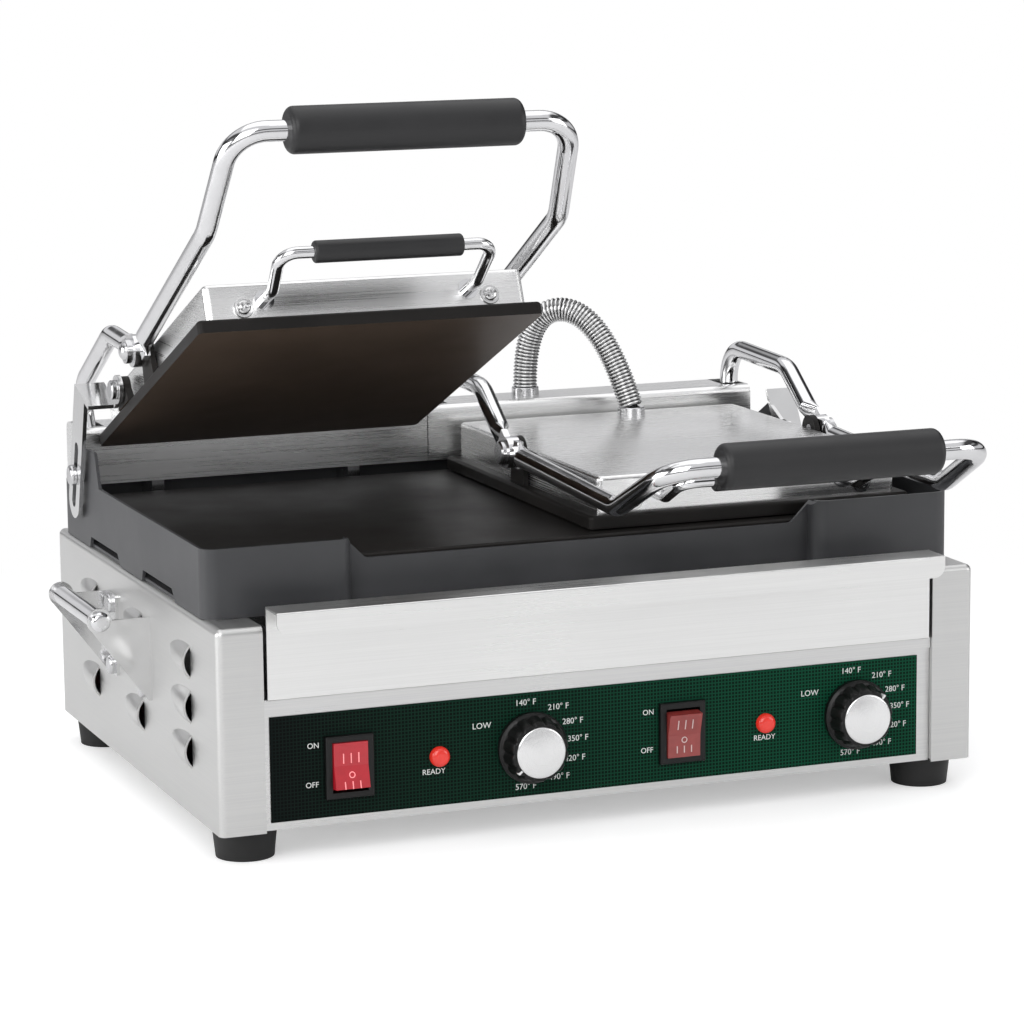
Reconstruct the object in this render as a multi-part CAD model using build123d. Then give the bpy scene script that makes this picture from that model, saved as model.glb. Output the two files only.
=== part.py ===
from build123d import *
import math
import os

# Housing
HOUSING_D = 350.0
FOOT_H = 18.0
HOUSING_TOP = 138.0
SHEET = 1.5
POST_W = 27.3
POST_RETURN = 10.0
FLANGE = 12.0
PANEL_BEND = 4.0
SEAT_GAP = 0.2

# Rubber feet
FOOT_TOP_R = 19.0
FOOT_BOTTOM_R = 17.0
FOOT_INSET_X = 22.0
FOOT_FRONT_Y = 26.0
FOOT_REAR_Y = 325.0
FOOT_SCREW_R = 3.0
FOOT_RECESS_R = 7.0
FOOT_RECESS_H = 8.0

# Side louvres
LOUVRE_L = 42.0
LOUVRE_H = 20.0
LOUVRE_OUT = 4.5
LOUVRE_WALL = 1.2
LOUVRE_FRONT_Y = 54.0
LOUVRE_STEP_Y = 101.0
LOUVRE_LOW_Z = 56.0
LOUVRE_HIGH_Z = 109.0

# Carry handles
CARRY_OUT = 31.0
CARRY_R = 6.0
CARRY_Z = 120.0
CARRY_FRONT_Y = 136.0
CARRY_REAR_Y = 225.0
CARRY_OVERHANG = 6.0
CARRY_PLATE = 2.0
CARRY_BASE_Z = 69.4
CARRY_BOSS_R = 7.5
CARRY_FLANGE_L = 17.0
CARRY_BOLT_R = 3.0
CARRY_HEAD_R = 6.0
CARRY_HEAD_H = 3.5

# Tray shelf, control panel and drip tray
SHELF_LOW = 88.5
SHELF_TOP = 95.0
SHELF_FRONT_Y = 2.0
PANEL_Y = 3.5
PANEL_LOW = 18.5
PANEL_RETURN = 9.0
LABEL_T = 0.6
LABEL_LEFT = 3.7
LABEL_RIGHT = 8.7
LABEL_Z0 = 23.0
LABEL_Z1 = 84.5
TRAY_FACE_TOP = 149.0
TRAY_LIP_OUT = 20.0
TRAY_LIP_DROP = 13.0
TRAY_GAP = 2.2
TRAY_D = 240.0
TRAY_SHEET = 1.2
TRAY_WALL_TOP = 133.0
TRAY_INSET = 5.0
TRAY_R = 8.0

# Controls
CONTROL_Z = 52.0
SWITCH_X = (-160.5, 47.0)
SWITCH_W = 29.3
SWITCH_H = 37.0
SWITCH_OUT = 3.0
ROCKER_W = 20.6
ROCKER_H = 26.6
ROCKER_OUT = 3.6
ROCKER_DEEP = 7.0
ROCKER_TILT = 8.0
ROCKER_PIN_R = 1.5
ROCKER_GAP = 1.0
SWITCH_BODY_D = 26.0
LAMP_X = (-105.5, 101.5)
LAMP_R = 6.0
LAMP_OUT = 4.5
LAMP_STEM_R = 4.0
LAMP_STEM_L = 16.0
KNOB_X = (-48.5, 161.5)
KNOB_R = 21.25
KNOB_RIM = 4.0
KNOB_BODY_R = 19.6
KNOB_TOP_R = 17.2
KNOB_DEPTH = 22.5
KNOB_FLUTES = 14
KNOB_FLUTE_R = 2.2
KNOB_GAP = 0.5
KNOB_CAP_R = 13.25
KNOB_CAP_H = 1.6
KNOB_SHAFT_R = 3.0
KNOB_SHAFT_L = 14.0
RUN_FIT = 0.05
THERMOSTAT_R = 17.0
THERMOSTAT_L = 30.0
THERMOSTAT_NECK_R = 5.0

# Splash pan
PAN_SIDE_SPACE = 14.75
PAN_FRONT_Y = 28.0
PAN_MID_Y = 40.0
PAN_REAR_Y = 338.0
PAN_SHEET = 2.0
PAN_BLOCK_X = 146.5
PAN_BLOCK_RUN = 11.0
PAN_BLOCK_TOP = 177.5
PAN_MID_TOP = 164.5
PAN_SIDE_TOP = 178.5
PAN_STEP_Y0 = 251.0
PAN_STEP_Y1 = 259.5
PAN_HIGH_TOP = 200.0
PAN_HIGH_END = 281.0
PAN_REAR_TOP = 171.5
PAN_CORNER_R = 9.0
NOTCH_H = 7.0
NOTCH_L = 73.0
NOTCH_RUN = 8.0
NOTCH_Y = (85.0, 203.5)
DRAIN_W = 120.0
DRAIN_D = 14.0

# Lower plate
LOWER_INSET = 6.5
LOWER_Y0 = 43.0
LOWER_Y1 = 300.0
LOWER_TOP = 166.5
LOWER_T = 10.0
LOWER_LEG_R = 9.0
LOWER_LEG_INSET = 28.0

# Heating elements
ELEMENT_R = 4.0
ELEMENT_BEND = 16.0
ELEMENT_LANES = 4

# Lids
LID_SPACE = 20.5
CLOSED_GAP = 1.0
PLATE_W = 212.0
PLATE_D = 247.0
PLATE_T = 8.0
PLATE_FRONT_Y = 53.0
PLATE_CORNER_R = 3.0
COVER_INSET_X = 7.5
COVER_INSET_Y = 5.5
COVER_H = 22.5
COVER_SHEET = 1.2
COVER_EDGE_R = 2.5
COVER_CORNER_R = 4.0

# Pivots, as Y and Z with both lids closed
HINGE_Y = 322.0
HINGE_Z = 196.0
TILT_BACK = 128.0
TILT_UP = 28.0
GUIDE_BACK = 180.0
GUIDE_UP = 18.5
SLOT_BOLT_Y = 289.6
SLOT_BOLT_Z = 182.0

# Opening angles
ARM_OPEN = 32.0
LID_TILT = 8.4
LINK_TURN = 19.6

# Lid arms
ROD_R = 6.0
GRIP_ROD_IN = 5.5
ELBOW_Y = 9.0
ELBOW_Z = 188.3
GRIP_Y = -53.0
GRIP_Z = 219.0
FRAME_BEND = 22.0
NECK_Y = 230.0
NECK_Z = 230.0
LEG_Y = 320.5
LEG_TOP = 233.5
NECK_BEND = 22.0
EYE_R = 10.0
EYE_T = 4.0
EYE_TAPER = 22.0
EYE_START = 12.0
GRIP_R = 13.5
GRIP_END_GAP = 10.0
GRIP_EDGE_R = 4.0
SHAFT_R = 6.0

# Tilt lugs and bolts
LUG_T = 3.4
LUG_GAP = 0.7
EYE_GAP = 0.4
LUG_R = 10.0
LUG_BASE = 23.0
TILT_BOLT_R = 4.0
TILT_HEAD_R = 7.5
TILT_HEAD_H = 4.2
TILT_DOME_H = 7.5

# Guide links
LINK_T = 2.5
LINK_W = 24.0
LINK_OFFSET = 23.9
LINK_CLOSED_ANGLE = -30.3
LINK_SHELF = 11.0
LINK_SLOT_START = 50.0
LINK_SLOT_END = 86.0
LINK_SLOT_R = 4.0
LINK_END = 85.0
LINK_EAR_R = 9.0
LINK_EAR_START = 2.0
LINK_EAR_END = 28.0
LINK_CLEAR = 0.75
LINK_STRAP_CLEAR = 2.5
GUIDE_LUG_T = 4.5
GUIDE_LUG_R = 8.0
GUIDE_LUG_BASE = 26.0
GUIDE_BOLT_R = 3.0
GUIDE_NUT_R = 6.0
GUIDE_NUT_H = 4.0
SLOT_BOLT_R = 2.0
SLOT_HEAD_R = 6.5
SLOT_HEAD_H = 3.8
SLOT_SPACER_R = 6.0
SLOT_NUT_R = 5.0
SLOT_NUT_H = 3.5
SIDE_PLAY = 0.2

# Hinge bearings, springs and covers
BEARING_X = 66.0
BEARING_T = 8.0
BEARING_W = 24.0
BEARING_FOOT = 30.0
SPRING_R = 9.5
SPRING_BORE_R = 7.0
SPRING_L = 54.0
STRIP_GAP = 0.35
STRIP_Y0 = 306.0
STRIP_Y1 = 345.0
STRIP_LOW = 172.0
STRIP_TOP = 208.0
STRIP_SHEET = 1.2
STRIP_R = 5.0
STRIP_SLOT_W = 15.0
STRIP_SLOT_Y0 = 313.0
STRIP_SLOT_Y1 = 341.0

# Auxiliary handles on the lid fronts
AUX_ROD_R = 3.5
AUX_FOOT_X = 63.0
AUX_BAR_X = 65.0
AUX_FOOT_UP = 19.0
AUX_BAR_UP = 32.0
AUX_OUT = 48.0
AUX_BEND = 10.0
AUX_SLEEVE_R = 6.5
AUX_SLEEVE_L = 90.0
AUX_WASHER_R = 6.0
AUX_WASHER_T = 1.2

# Ribbed conduits
HOSE_R = 7.15
HOSE_VALLEY_R = 5.9
HOSE_BORE_R = 4.8
HOSE_RIBS = 36
HOSE_BASE_X = -37.75
HOSE_BASE_Y = 331.0
HOSE_LID_X = 17.25
HOSE_LID_Y = 280.0
HOSE_FIT_R = 9.0
HOSE_FIT_H = 5.0
HOSE_NUT_H = 4.0
HOSE_RISE_CLOSED = 262.0
HOSE_RISE_OPEN = 268.0
HOSE_DROP_OPEN = 40.0
HOSE_BEND_CLOSED = 32.0
HOSE_BEND_OPEN = 26.0

# Cable gland
GLAND_X = 150.0
GLAND_Z = 60.0
GLAND_R = 9.0
GLAND_OUT = 12.0
GLAND_BORE_R = 5.0
GLAND_NUT_R = 12.0
GLAND_NUT_H = 4.0

LID_X = (PLATE_W + LID_SPACE) / 2
PAN_W = 2 * (LID_X + PLATE_W / 2 + PAN_SIDE_SPACE)
HOUSING_W = PAN_W + 2 * SHEET
LOWER_W = PAN_W - 2 * LOWER_INSET
HALF_W = HOUSING_W / 2
POST_X = HALF_W - POST_W
TRAY_W = 2 * (POST_X - TRAY_GAP)
LABEL_X0 = LABEL_LEFT - POST_X
LABEL_X1 = POST_X - LABEL_RIGHT
COVER_W = PLATE_W - 2 * COVER_INSET_X
COVER_D = PLATE_D - 2 * COVER_INSET_Y
PLATE_LOW = LOWER_TOP + CLOSED_GAP
PLATE_TOP = PLATE_LOW + PLATE_T
COVER_TOP = PLATE_TOP + COVER_H
COVER_FRONT_Y = PLATE_FRONT_Y + COVER_INSET_Y
COVER_REAR_Y = COVER_FRONT_Y + COVER_D
HINGE = (HINGE_Y, HINGE_Z)
TILT = (PLATE_FRONT_Y + TILT_BACK, PLATE_LOW + TILT_UP)
GUIDE = (PLATE_FRONT_Y + GUIDE_BACK, PLATE_LOW + GUIDE_UP)
PAN_FLOOR = HOUSING_TOP + PAN_SHEET
LUG_X = COVER_W / 2 + LUG_GAP
ROD_X = LUG_X + LUG_T + EYE_GAP + EYE_T
GRIP_ROD_X = ROD_X - GRIP_ROD_IN
GRIP_L = 2 * (GRIP_ROD_X - FRAME_BEND - GRIP_END_GAP)
STRIP_HALF = LID_X - STRIP_GAP
GUIDE_LUG_X = PLATE_W / 2 - GUIDE_LUG_T
LINK_EAR_X = PLATE_W / 2 + LINK_CLEAR
STRAP_X = PAN_W / 2 + LINK_STRAP_CLEAR - LID_X
FRONT_MOST = GRIP_Y - GRIP_R
REAR_MOST = HOUSING_D + GLAND_OUT
MIDDLE_Y = (FRONT_MOST + REAR_MOST) / 2


def block(x0, x1, y0, y1, z0, z1):
    middle = Pos((x0 + x1) / 2, (y0 + y1) / 2, (z0 + z1) / 2)
    return middle * Box(x1 - x0, y1 - y0, z1 - z0)


def cyl_x(x0, x1, y, z, radius):
    return Pos((x0 + x1) / 2, y, z) * Rot(0, 90, 0) * Cylinder(radius, x1 - x0)


def cyl_y(x, y0, y1, z, radius):
    return Pos(x, (y0 + y1) / 2, z) * Rot(90, 0, 0) * Cylinder(radius, y1 - y0)


def cyl_z(x, y, z0, z1, radius):
    return Pos(x, y, (z0 + z1) / 2) * Cylinder(radius, z1 - z0)


def prism_x(points, x0, x1):
    outline = Polyline(*[(x0, y, z) for y, z in points], close=True)
    return extrude(make_face(outline), amount=x1 - x0, dir=(1, 0, 0))


def prism_y(points, y0, y1):
    outline = Polyline(*[(x, y0, z) for x, z in points], close=True)
    return extrude(make_face(outline), amount=y1 - y0, dir=(0, 1, 0))


def prism_z(points, z0, z1):
    outline = Polyline(*[(x, y, z0) for x, y in points], close=True)
    return extrude(make_face(outline), amount=z1 - z0, dir=(0, 0, 1))


def near(shape, axis, **at):
    def fits(edge):
        centre = edge.center()
        place = {"x": centre.X, "y": centre.Y, "z": centre.Z}
        return all(abs(place[key] - value) < 0.1 for key, value in at.items())

    return [edge for edge in shape.edges().filter_by(axis) if fits(edge)]


def mirror_x(shape):
    return mirror(shape, about=Plane.YZ)


def both_sides(shape):
    return Compound([shape, mirror_x(shape)])


def swing(point, centre, angle):
    c = math.cos(math.radians(angle))
    s = math.sin(math.radians(angle))
    y = point[0] - centre[0]
    z = point[1] - centre[1]
    return (centre[0] + y * c + z * s, centre[1] - y * s + z * c)


def turned(shape, centre, angle):
    return shape.rotate(Axis((0, centre[0], centre[1]), (1, 0, 0)), -angle)


TILT_OPEN = swing(TILT, HINGE, ARM_OPEN)
GUIDE_OPEN = swing(swing(GUIDE, HINGE, ARM_OPEN), TILT_OPEN, -LID_TILT)


def arm_place(shape, side):
    placed = Pos(side * LID_X, 0, 0) * shape
    return turned(placed, HINGE, ARM_OPEN) if side < 0 else placed


def lid_place(shape, side):
    placed = arm_place(shape, side)
    return turned(placed, TILT_OPEN, -LID_TILT) if side < 0 else placed


def link_place(shape, side):
    placed = lid_place(shape, side)
    return turned(placed, GUIDE_OPEN, LINK_TURN) if side < 0 else placed


def rounded_path(points, radius):
    corners = [Vector(*point) for point in points]
    edges = []
    start = corners[0]
    for before, corner, after in zip(corners, corners[1:], corners[2:]):
        back = (before - corner).normalized()
        ahead = (after - corner).normalized()
        half = math.acos(max(-1.0, min(1.0, back.dot(ahead)))) / 2
        reach = radius / math.tan(half)
        middle = (back + ahead).normalized()
        first = corner + back * reach
        last = corner + ahead * reach
        crown = corner + middle * (radius / math.sin(half) - radius)
        edges.append(Line(start, first))
        edges.append(ThreePointArc(first, crown, last))
        start = last
    edges.append(Line(start, corners[-1]))
    return Wire(edges)


def rod(points, radius, bend):
    path = rounded_path(points, bend)
    ahead = Vector(*points[1]) - Vector(*points[0])
    section = Plane(origin=points[0], z_dir=ahead) * Circle(radius)
    return sweep(section, path=path)


# Housing panels, posts and louvres
def louvre(y, z, inner):
    half = LOUVRE_H / 2
    radius = (LOUVRE_OUT ** 2 + half ** 2) / (2 * LOUVRE_OUT)
    sunk = radius - LOUVRE_OUT
    wall = LOUVRE_WALL if inner else 0.0
    start = -LOUVRE_WALL if inner else 0.0
    rise = radius - wall
    low = sunk - wall
    length = LOUVRE_L - wall
    bend = low + (rise - low) * math.sqrt(1 - 0.5 ** 2)
    profile = [
        Line((0, start, 0), (rise, start, 0)),
        Line((rise, start, 0), (rise, 0.001, 0)),
        ThreePointArc((rise, 0.001, 0), (bend, length / 2, 0), (low, length, 0)),
        Line((low, length, 0), (0, length, 0)),
        Line((0, length, 0), (0, start, 0)),
    ]
    dome = revolve(make_face(Wire(profile)), axis=Axis.Y)
    return Pos(-HALF_W + sunk, y, z) * dome


def louvre_places():
    middle = (LOUVRE_LOW_Z + LOUVRE_HIGH_Z) / 2
    places = [(LOUVRE_FRONT_Y, middle)]
    for column in range(3):
        for z in (LOUVRE_LOW_Z, LOUVRE_HIGH_Z):
            places.append((LOUVRE_FRONT_Y + column * LOUVRE_STEP_Y, z))
    return places


def side_panel():
    left = -HALF_W
    outer = block(left, -POST_X, 0, HOUSING_D, FOOT_H, HOUSING_TOP)
    outer = fillet(near(outer, Axis.Z, x=left), PANEL_BEND)
    outer = fillet(near(outer, Axis.X, y=HOUSING_D, z=HOUSING_TOP), PANEL_BEND)
    back = HOUSING_D - SHEET
    inner = block(left + SHEET, -POST_X + SHEET, SHEET, back, FOOT_H + SHEET, HOUSING_TOP - SHEET)
    inner = fillet(near(inner, Axis.Z, x=left + SHEET), PANEL_BEND - SHEET)
    inner = fillet(near(inner, Axis.X, y=HOUSING_D - SHEET, z=HOUSING_TOP - SHEET), PANEL_BEND - SHEET)
    panel = outer - inner
    panel -= block(left + FLANGE, HALF_W, POST_W, HOUSING_D + 1, 0, PAN_HIGH_TOP)
    panel -= block(left + FLANGE, HALF_W, SHEET, POST_W + 1, 0, FOOT_H + SHEET + 1)
    panel += block(-POST_X - SHEET, -POST_X, SHEET, POST_RETURN, FOOT_H + SHEET, HOUSING_TOP - SHEET)
    outside = block(left - LOUVRE_OUT - 1, left + SHEET / 2, 0, HOUSING_D, FOOT_H, HOUSING_TOP)
    for y, z in louvre_places():
        panel += louvre(y, z, False) & outside
    for y, z in louvre_places():
        panel -= louvre(y, z, True)
    for z in (CARRY_BASE_Z + CARRY_HEAD_R, CARRY_Z - CARRY_HEAD_R):
        panel -= cyl_x(left - 1, left + SHEET + 1, carry_bolt_y(CARRY_REAR_Y), z, CARRY_BOLT_R)
    bolt_y = carry_bolt_y(CARRY_FRONT_Y)
    panel -= cyl_x(left - 1, left + SHEET + 1, bolt_y, CARRY_BASE_Z + CARRY_HEAD_R, CARRY_BOLT_R)
    for y in (FOOT_FRONT_Y, FOOT_REAR_Y):
        panel -= cyl_z(left + FOOT_INSET_X, y, FOOT_H - 1, FOOT_H + SHEET + 1, FOOT_SCREW_R)
    return panel


def bottom_panel():
    inside = HALF_W - SHEET - SEAT_GAP
    low = FOOT_H + SHEET
    sheet = block(-inside, inside, PANEL_Y + SHEET + SEAT_GAP, HOUSING_D - SHEET - SEAT_GAP, low, low + SHEET)
    sheet = fillet(sheet.edges().filter_by(Axis.Z).group_by(Axis.Y)[-1], PANEL_BEND)
    for side in (-1, 1):
        post = side * POST_X
        sheet -= block(post - 3 * SHEET, post + 3 * SHEET, 0, POST_RETURN + SHEET, 0, HOUSING_TOP)
        for y in (FOOT_FRONT_Y, FOOT_REAR_Y):
            sheet -= cyl_z(side * (HALF_W - FOOT_INSET_X), y, low - 1, low + SHEET + 1, FOOT_SCREW_R)
    return sheet


def back_panel():
    inside = HALF_W - SHEET - SEAT_GAP
    rear = HOUSING_D - SHEET
    low = FOOT_H + 2 * SHEET + SEAT_GAP
    sheet = block(-inside, inside, rear - SHEET, rear, low, HOUSING_TOP - PANEL_BEND - SHEET)
    sheet -= block(-inside - 1, -inside + PANEL_BEND, rear - SHEET - 1, rear + 1, low, HOUSING_TOP)
    sheet -= block(inside - PANEL_BEND, inside + 1, rear - SHEET - 1, rear + 1, low, HOUSING_TOP)
    return sheet - cyl_y(GLAND_X, rear - 2 * SHEET, HOUSING_D, GLAND_Z, GLAND_R)


def feet():
    profile = [(0, 0), (FOOT_BOTTOM_R, 0), (FOOT_TOP_R, FOOT_H), (0, FOOT_H)]
    outline = Polyline(*[(x, 0, z) for x, z in profile], close=True)
    foot = revolve(make_face(outline), axis=Axis.Z)
    foot -= cyl_z(0, 0, -1, FOOT_RECESS_H, FOOT_RECESS_R)
    foot -= cyl_z(0, 0, 0, FOOT_H + 1, FOOT_SCREW_R)
    return foot


def foot_screw():
    top = FOOT_H + 2 * SHEET + 6.0
    screw = cyl_z(0, 0, FOOT_RECESS_H - 3.0, top, FOOT_SCREW_R)
    screw += cyl_z(0, 0, FOOT_RECESS_H - 3.0, FOOT_RECESS_H, FOOT_RECESS_R - 1.0)
    screw += cyl_z(0, 0, FOOT_H + 2 * SHEET, FOOT_H + 2 * SHEET + 4.0, FOOT_RECESS_R - 1.5)
    return screw


def at_feet(shape):
    copies = []
    for x in (-1, 1):
        for y in (FOOT_FRONT_Y, FOOT_REAR_Y):
            copies.append(Pos(x * (HALF_W - FOOT_INSET_X), y, 0) * shape)
    return Compound(copies)


# Carry handles
def carry_inward(plate_y):
    return 1 if plate_y == CARRY_FRONT_Y else -1


def carry_bolt_y(plate_y):
    return plate_y + carry_inward(plate_y) * (CARRY_PLATE / 2 + CARRY_FLANGE_L / 2)


def carry_plate(plate_y, top):
    wall = -HALF_W
    bar = wall - CARRY_OUT
    web = [
        (wall, CARRY_BASE_Z),
        (wall, CARRY_Z),
        (bar, CARRY_Z),
        (bar - CARRY_BOSS_R * 0.7, CARRY_Z - CARRY_BOSS_R * 0.7),
        (wall - CARRY_PLATE, CARRY_BASE_Z),
    ]
    front = plate_y - CARRY_PLATE / 2
    rear = plate_y + CARRY_PLATE / 2
    plate = prism_y(web, front, rear)
    plate += cyl_y(bar, front, rear, CARRY_Z, CARRY_BOSS_R)
    flange_end = plate_y + carry_inward(plate_y) * (CARRY_PLATE / 2 + CARRY_FLANGE_L)
    y0, y1 = sorted((plate_y, flange_end))
    plate += block(wall - CARRY_PLATE, wall, y0, y1, CARRY_BASE_Z, top)
    plate = fillet(near(plate, Axis.X, y=flange_end), CARRY_PLATE)
    return plate - cyl_y(bar, front - 1, rear + 1, CARRY_Z, CARRY_R)


def carry_front_plate():
    plate = carry_plate(CARRY_FRONT_Y, CARRY_BASE_Z + 4 * CARRY_HEAD_R)
    z = CARRY_BASE_Z + CARRY_HEAD_R
    return plate - cyl_x(-HALF_W - 5, -HALF_W + 5, carry_bolt_y(CARRY_FRONT_Y), z, CARRY_BOLT_R)


def carry_rear_plate():
    plate = carry_plate(CARRY_REAR_Y, CARRY_Z)
    for z in (CARRY_BASE_Z + CARRY_HEAD_R, CARRY_Z - CARRY_HEAD_R):
        plate -= cyl_x(-HALF_W - 5, -HALF_W + 5, carry_bolt_y(CARRY_REAR_Y), z, CARRY_BOLT_R)
    return plate


def carry_brackets():
    plates = [carry_front_plate(), carry_rear_plate()]
    return Compound(plates + [mirror_x(plate) for plate in plates])


def carry_tube():
    front = CARRY_FRONT_Y - CARRY_OVERHANG
    rear = CARRY_REAR_Y + CARRY_OVERHANG
    bar = cyl_y(-HALF_W - CARRY_OUT, front, rear, CARRY_Z, CARRY_R)
    return fillet(bar.edges().filter_by(GeomType.CIRCLE), CARRY_R / 2)


def carry_bolt(y, z):
    wall = -HALF_W
    head = cyl_x(wall - CARRY_PLATE - CARRY_HEAD_H, wall - CARRY_PLATE, y, z, CARRY_HEAD_R)
    head = fillet(head.edges().group_by(Axis.X)[0], CARRY_HEAD_H / 2)
    return head + cyl_x(wall - CARRY_PLATE, wall + SHEET + CARRY_HEAD_H, y, z, CARRY_BOLT_R)


def carry_bolts():
    low = CARRY_BASE_Z + CARRY_HEAD_R
    places = [
        (carry_bolt_y(CARRY_FRONT_Y), low),
        (carry_bolt_y(CARRY_REAR_Y), low),
        (carry_bolt_y(CARRY_REAR_Y), CARRY_Z - CARRY_HEAD_R),
    ]
    bolts = [carry_bolt(y, z) for y, z in places]
    return Compound(bolts + [mirror_x(bolt) for bolt in bolts])


# Tray shelf, control panel, label and drip tray
def tray_shelf():
    inside = HALF_W - SHEET - SEAT_GAP
    front_half = POST_X - SEAT_GAP
    front = POST_RETURN + SEAT_GAP
    shelf = block(-inside, inside, front, HOUSING_D - 3 * SHEET, SHELF_TOP - SHEET, SHELF_TOP)
    shelf += block(-front_half, front_half, SHELF_FRONT_Y, POST_RETURN + 1, SHELF_TOP - SHEET, SHELF_TOP)
    shelf += block(-front_half, front_half, SHELF_FRONT_Y, SHELF_FRONT_Y + SHEET, SHELF_LOW, SHELF_TOP)
    return fillet(near(shelf, Axis.X, y=SHELF_FRONT_Y, z=SHELF_TOP), SHEET * 0.6)


def control_panel():
    half = POST_X - SEAT_GAP
    top = SHELF_LOW - SEAT_GAP
    rear = PANEL_Y + PANEL_RETURN
    panel = block(-half, half, PANEL_Y, PANEL_Y + SHEET, PANEL_LOW, top)
    panel += block(-half, half, PANEL_Y, rear, top - SHEET, top)
    for x in SWITCH_X:
        hole_w = SWITCH_W / 2 - 1.5
        hole_h = SWITCH_H / 2 - 1.5
        panel -= block(x - hole_w, x + hole_w, 0, rear - SHEET, CONTROL_Z - hole_h, CONTROL_Z + hole_h)
    for x in LAMP_X:
        panel -= cyl_y(x, 0, rear, CONTROL_Z, LAMP_STEM_R)
    for x in KNOB_X:
        panel -= cyl_y(x, 0, rear, CONTROL_Z, THERMOSTAT_NECK_R)
    return panel


def control_label():
    label = block(LABEL_X0, LABEL_X1, PANEL_Y - LABEL_T, PANEL_Y, LABEL_Z0, LABEL_Z1)
    for x in SWITCH_X:
        hole_w = SWITCH_W / 2 - 1.5
        hole_h = SWITCH_H / 2 - 1.5
        label -= block(x - hole_w, x + hole_w, 0, PANEL_Y + 1, CONTROL_Z - hole_h, CONTROL_Z + hole_h)
    for x in LAMP_X:
        label -= cyl_y(x, 0, PANEL_Y + 1, CONTROL_Z, LAMP_STEM_R)
    for x in KNOB_X:
        label -= cyl_y(x, 0, PANEL_Y + 1, CONTROL_Z, THERMOSTAT_NECK_R)
    return label


def drip_tray():
    half = TRAY_W / 2
    inner_half = half - TRAY_INSET
    low = SHELF_TOP + SEAT_GAP
    face = block(-half, half, 0, TRAY_SHEET, low, TRAY_FACE_TOP)
    lip = block(-half, half, -TRAY_LIP_OUT, 0, TRAY_FACE_TOP - TRAY_SHEET, TRAY_FACE_TOP)
    drop_low = TRAY_FACE_TOP - TRAY_LIP_DROP
    drop = block(-half, half, -TRAY_LIP_OUT, TRAY_SHEET - TRAY_LIP_OUT, drop_low, TRAY_FACE_TOP)
    drop = fillet(near(drop, Axis.Y, z=drop_low), TRAY_LIP_DROP * 0.55)
    front = face + lip + drop
    front = fillet(near(front, Axis.X, y=-TRAY_LIP_OUT, z=TRAY_FACE_TOP), TRAY_SHEET * 0.8)
    pan = block(-inner_half, inner_half, TRAY_SHEET, TRAY_D, low, TRAY_WALL_TOP)
    pan = fillet(near(pan, Axis.Z, y=TRAY_D), TRAY_R)
    hollow_half = inner_half - TRAY_SHEET
    floor = low + TRAY_SHEET
    hollow = block(-hollow_half, hollow_half, TRAY_SHEET, TRAY_D - TRAY_SHEET, floor, TRAY_WALL_TOP + 1)
    hollow = fillet(near(hollow, Axis.Z, y=TRAY_D - TRAY_SHEET), TRAY_R - TRAY_SHEET)
    return front + pan - hollow


# Switches, lamps, knobs and thermostats
def switch_bezel(x):
    front = PANEL_Y - LABEL_T
    half_w = SWITCH_W / 2
    half_h = SWITCH_H / 2
    out = front - SWITCH_OUT
    bezel = block(x - half_w, x + half_w, out, front, CONTROL_Z - half_h, CONTROL_Z + half_h)
    bezel = fillet(bezel.edges().group_by(Axis.Y)[0], SWITCH_OUT * 0.4)
    body_w = SWITCH_W / 2 - 2.0
    body_h = SWITCH_H / 2 - 2.0
    back = front + SWITCH_BODY_D
    bezel += block(x - body_w, x + body_w, front, back, CONTROL_Z - body_h, CONTROL_Z + body_h)
    well_w = ROCKER_W / 2 + ROCKER_GAP / 2
    well_h = ROCKER_H / 2 + 1.5 * ROCKER_GAP
    deep = front + 2 * ROCKER_DEEP
    well = block(x - well_w, x + well_w, out - 1, deep, CONTROL_Z - well_h, CONTROL_Z + well_h)
    pin = cyl_x(x - well_w - 2, x + well_w + 2, front + ROCKER_DEEP / 2, CONTROL_Z, ROCKER_PIN_R + RUN_FIT)
    return bezel - well - pin


def rocker(x, tilt):
    front = PANEL_Y - LABEL_T
    pivot = (front + ROCKER_DEEP / 2, CONTROL_Z)
    face = front - SWITCH_OUT - ROCKER_OUT
    half = ROCKER_H / 2
    profile = [
        (face + 0.6, CONTROL_Z + half),
        (face + 2.2, CONTROL_Z),
        (face + 0.6, CONTROL_Z - half),
        (front + 1.0, CONTROL_Z - half),
        (front + ROCKER_DEEP, CONTROL_Z - half / 2),
        (front + ROCKER_DEEP, CONTROL_Z + half / 2),
        (front + 1.0, CONTROL_Z + half),
    ]
    paddle = prism_x(profile, x - ROCKER_W / 2, x + ROCKER_W / 2)
    reach = ROCKER_W / 2 + ROCKER_GAP / 2 + 1.5
    paddle += cyl_x(x - reach, x + reach, pivot[0], pivot[1], ROCKER_PIN_R)
    return turned(paddle, pivot, tilt)


def lamp(x):
    front = PANEL_Y - LABEL_T
    dome = cyl_y(x, front - LAMP_OUT, front, CONTROL_Z, LAMP_R)
    dome = fillet(dome.edges().group_by(Axis.Y)[0], LAMP_OUT * 0.8)
    return dome + cyl_y(x, front, front + LAMP_STEM_L, CONTROL_Z, LAMP_STEM_R)


def knob_profile_face():
    base = PANEL_Y - LABEL_T - KNOB_GAP
    tip = base - KNOB_DEPTH
    points = [
        (0, base),
        (KNOB_R, base),
        (KNOB_R, base - KNOB_RIM + 1.0),
        (KNOB_R - 1.0, base - KNOB_RIM),
        (KNOB_BODY_R, base - KNOB_RIM - 0.6),
        (KNOB_TOP_R, tip + 1.5),
        (KNOB_TOP_R - 1.5, tip),
        (0, tip),
    ]
    return make_face(Polyline(*[(x, y, 0) for x, y in points], close=True)), base, tip


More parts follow.
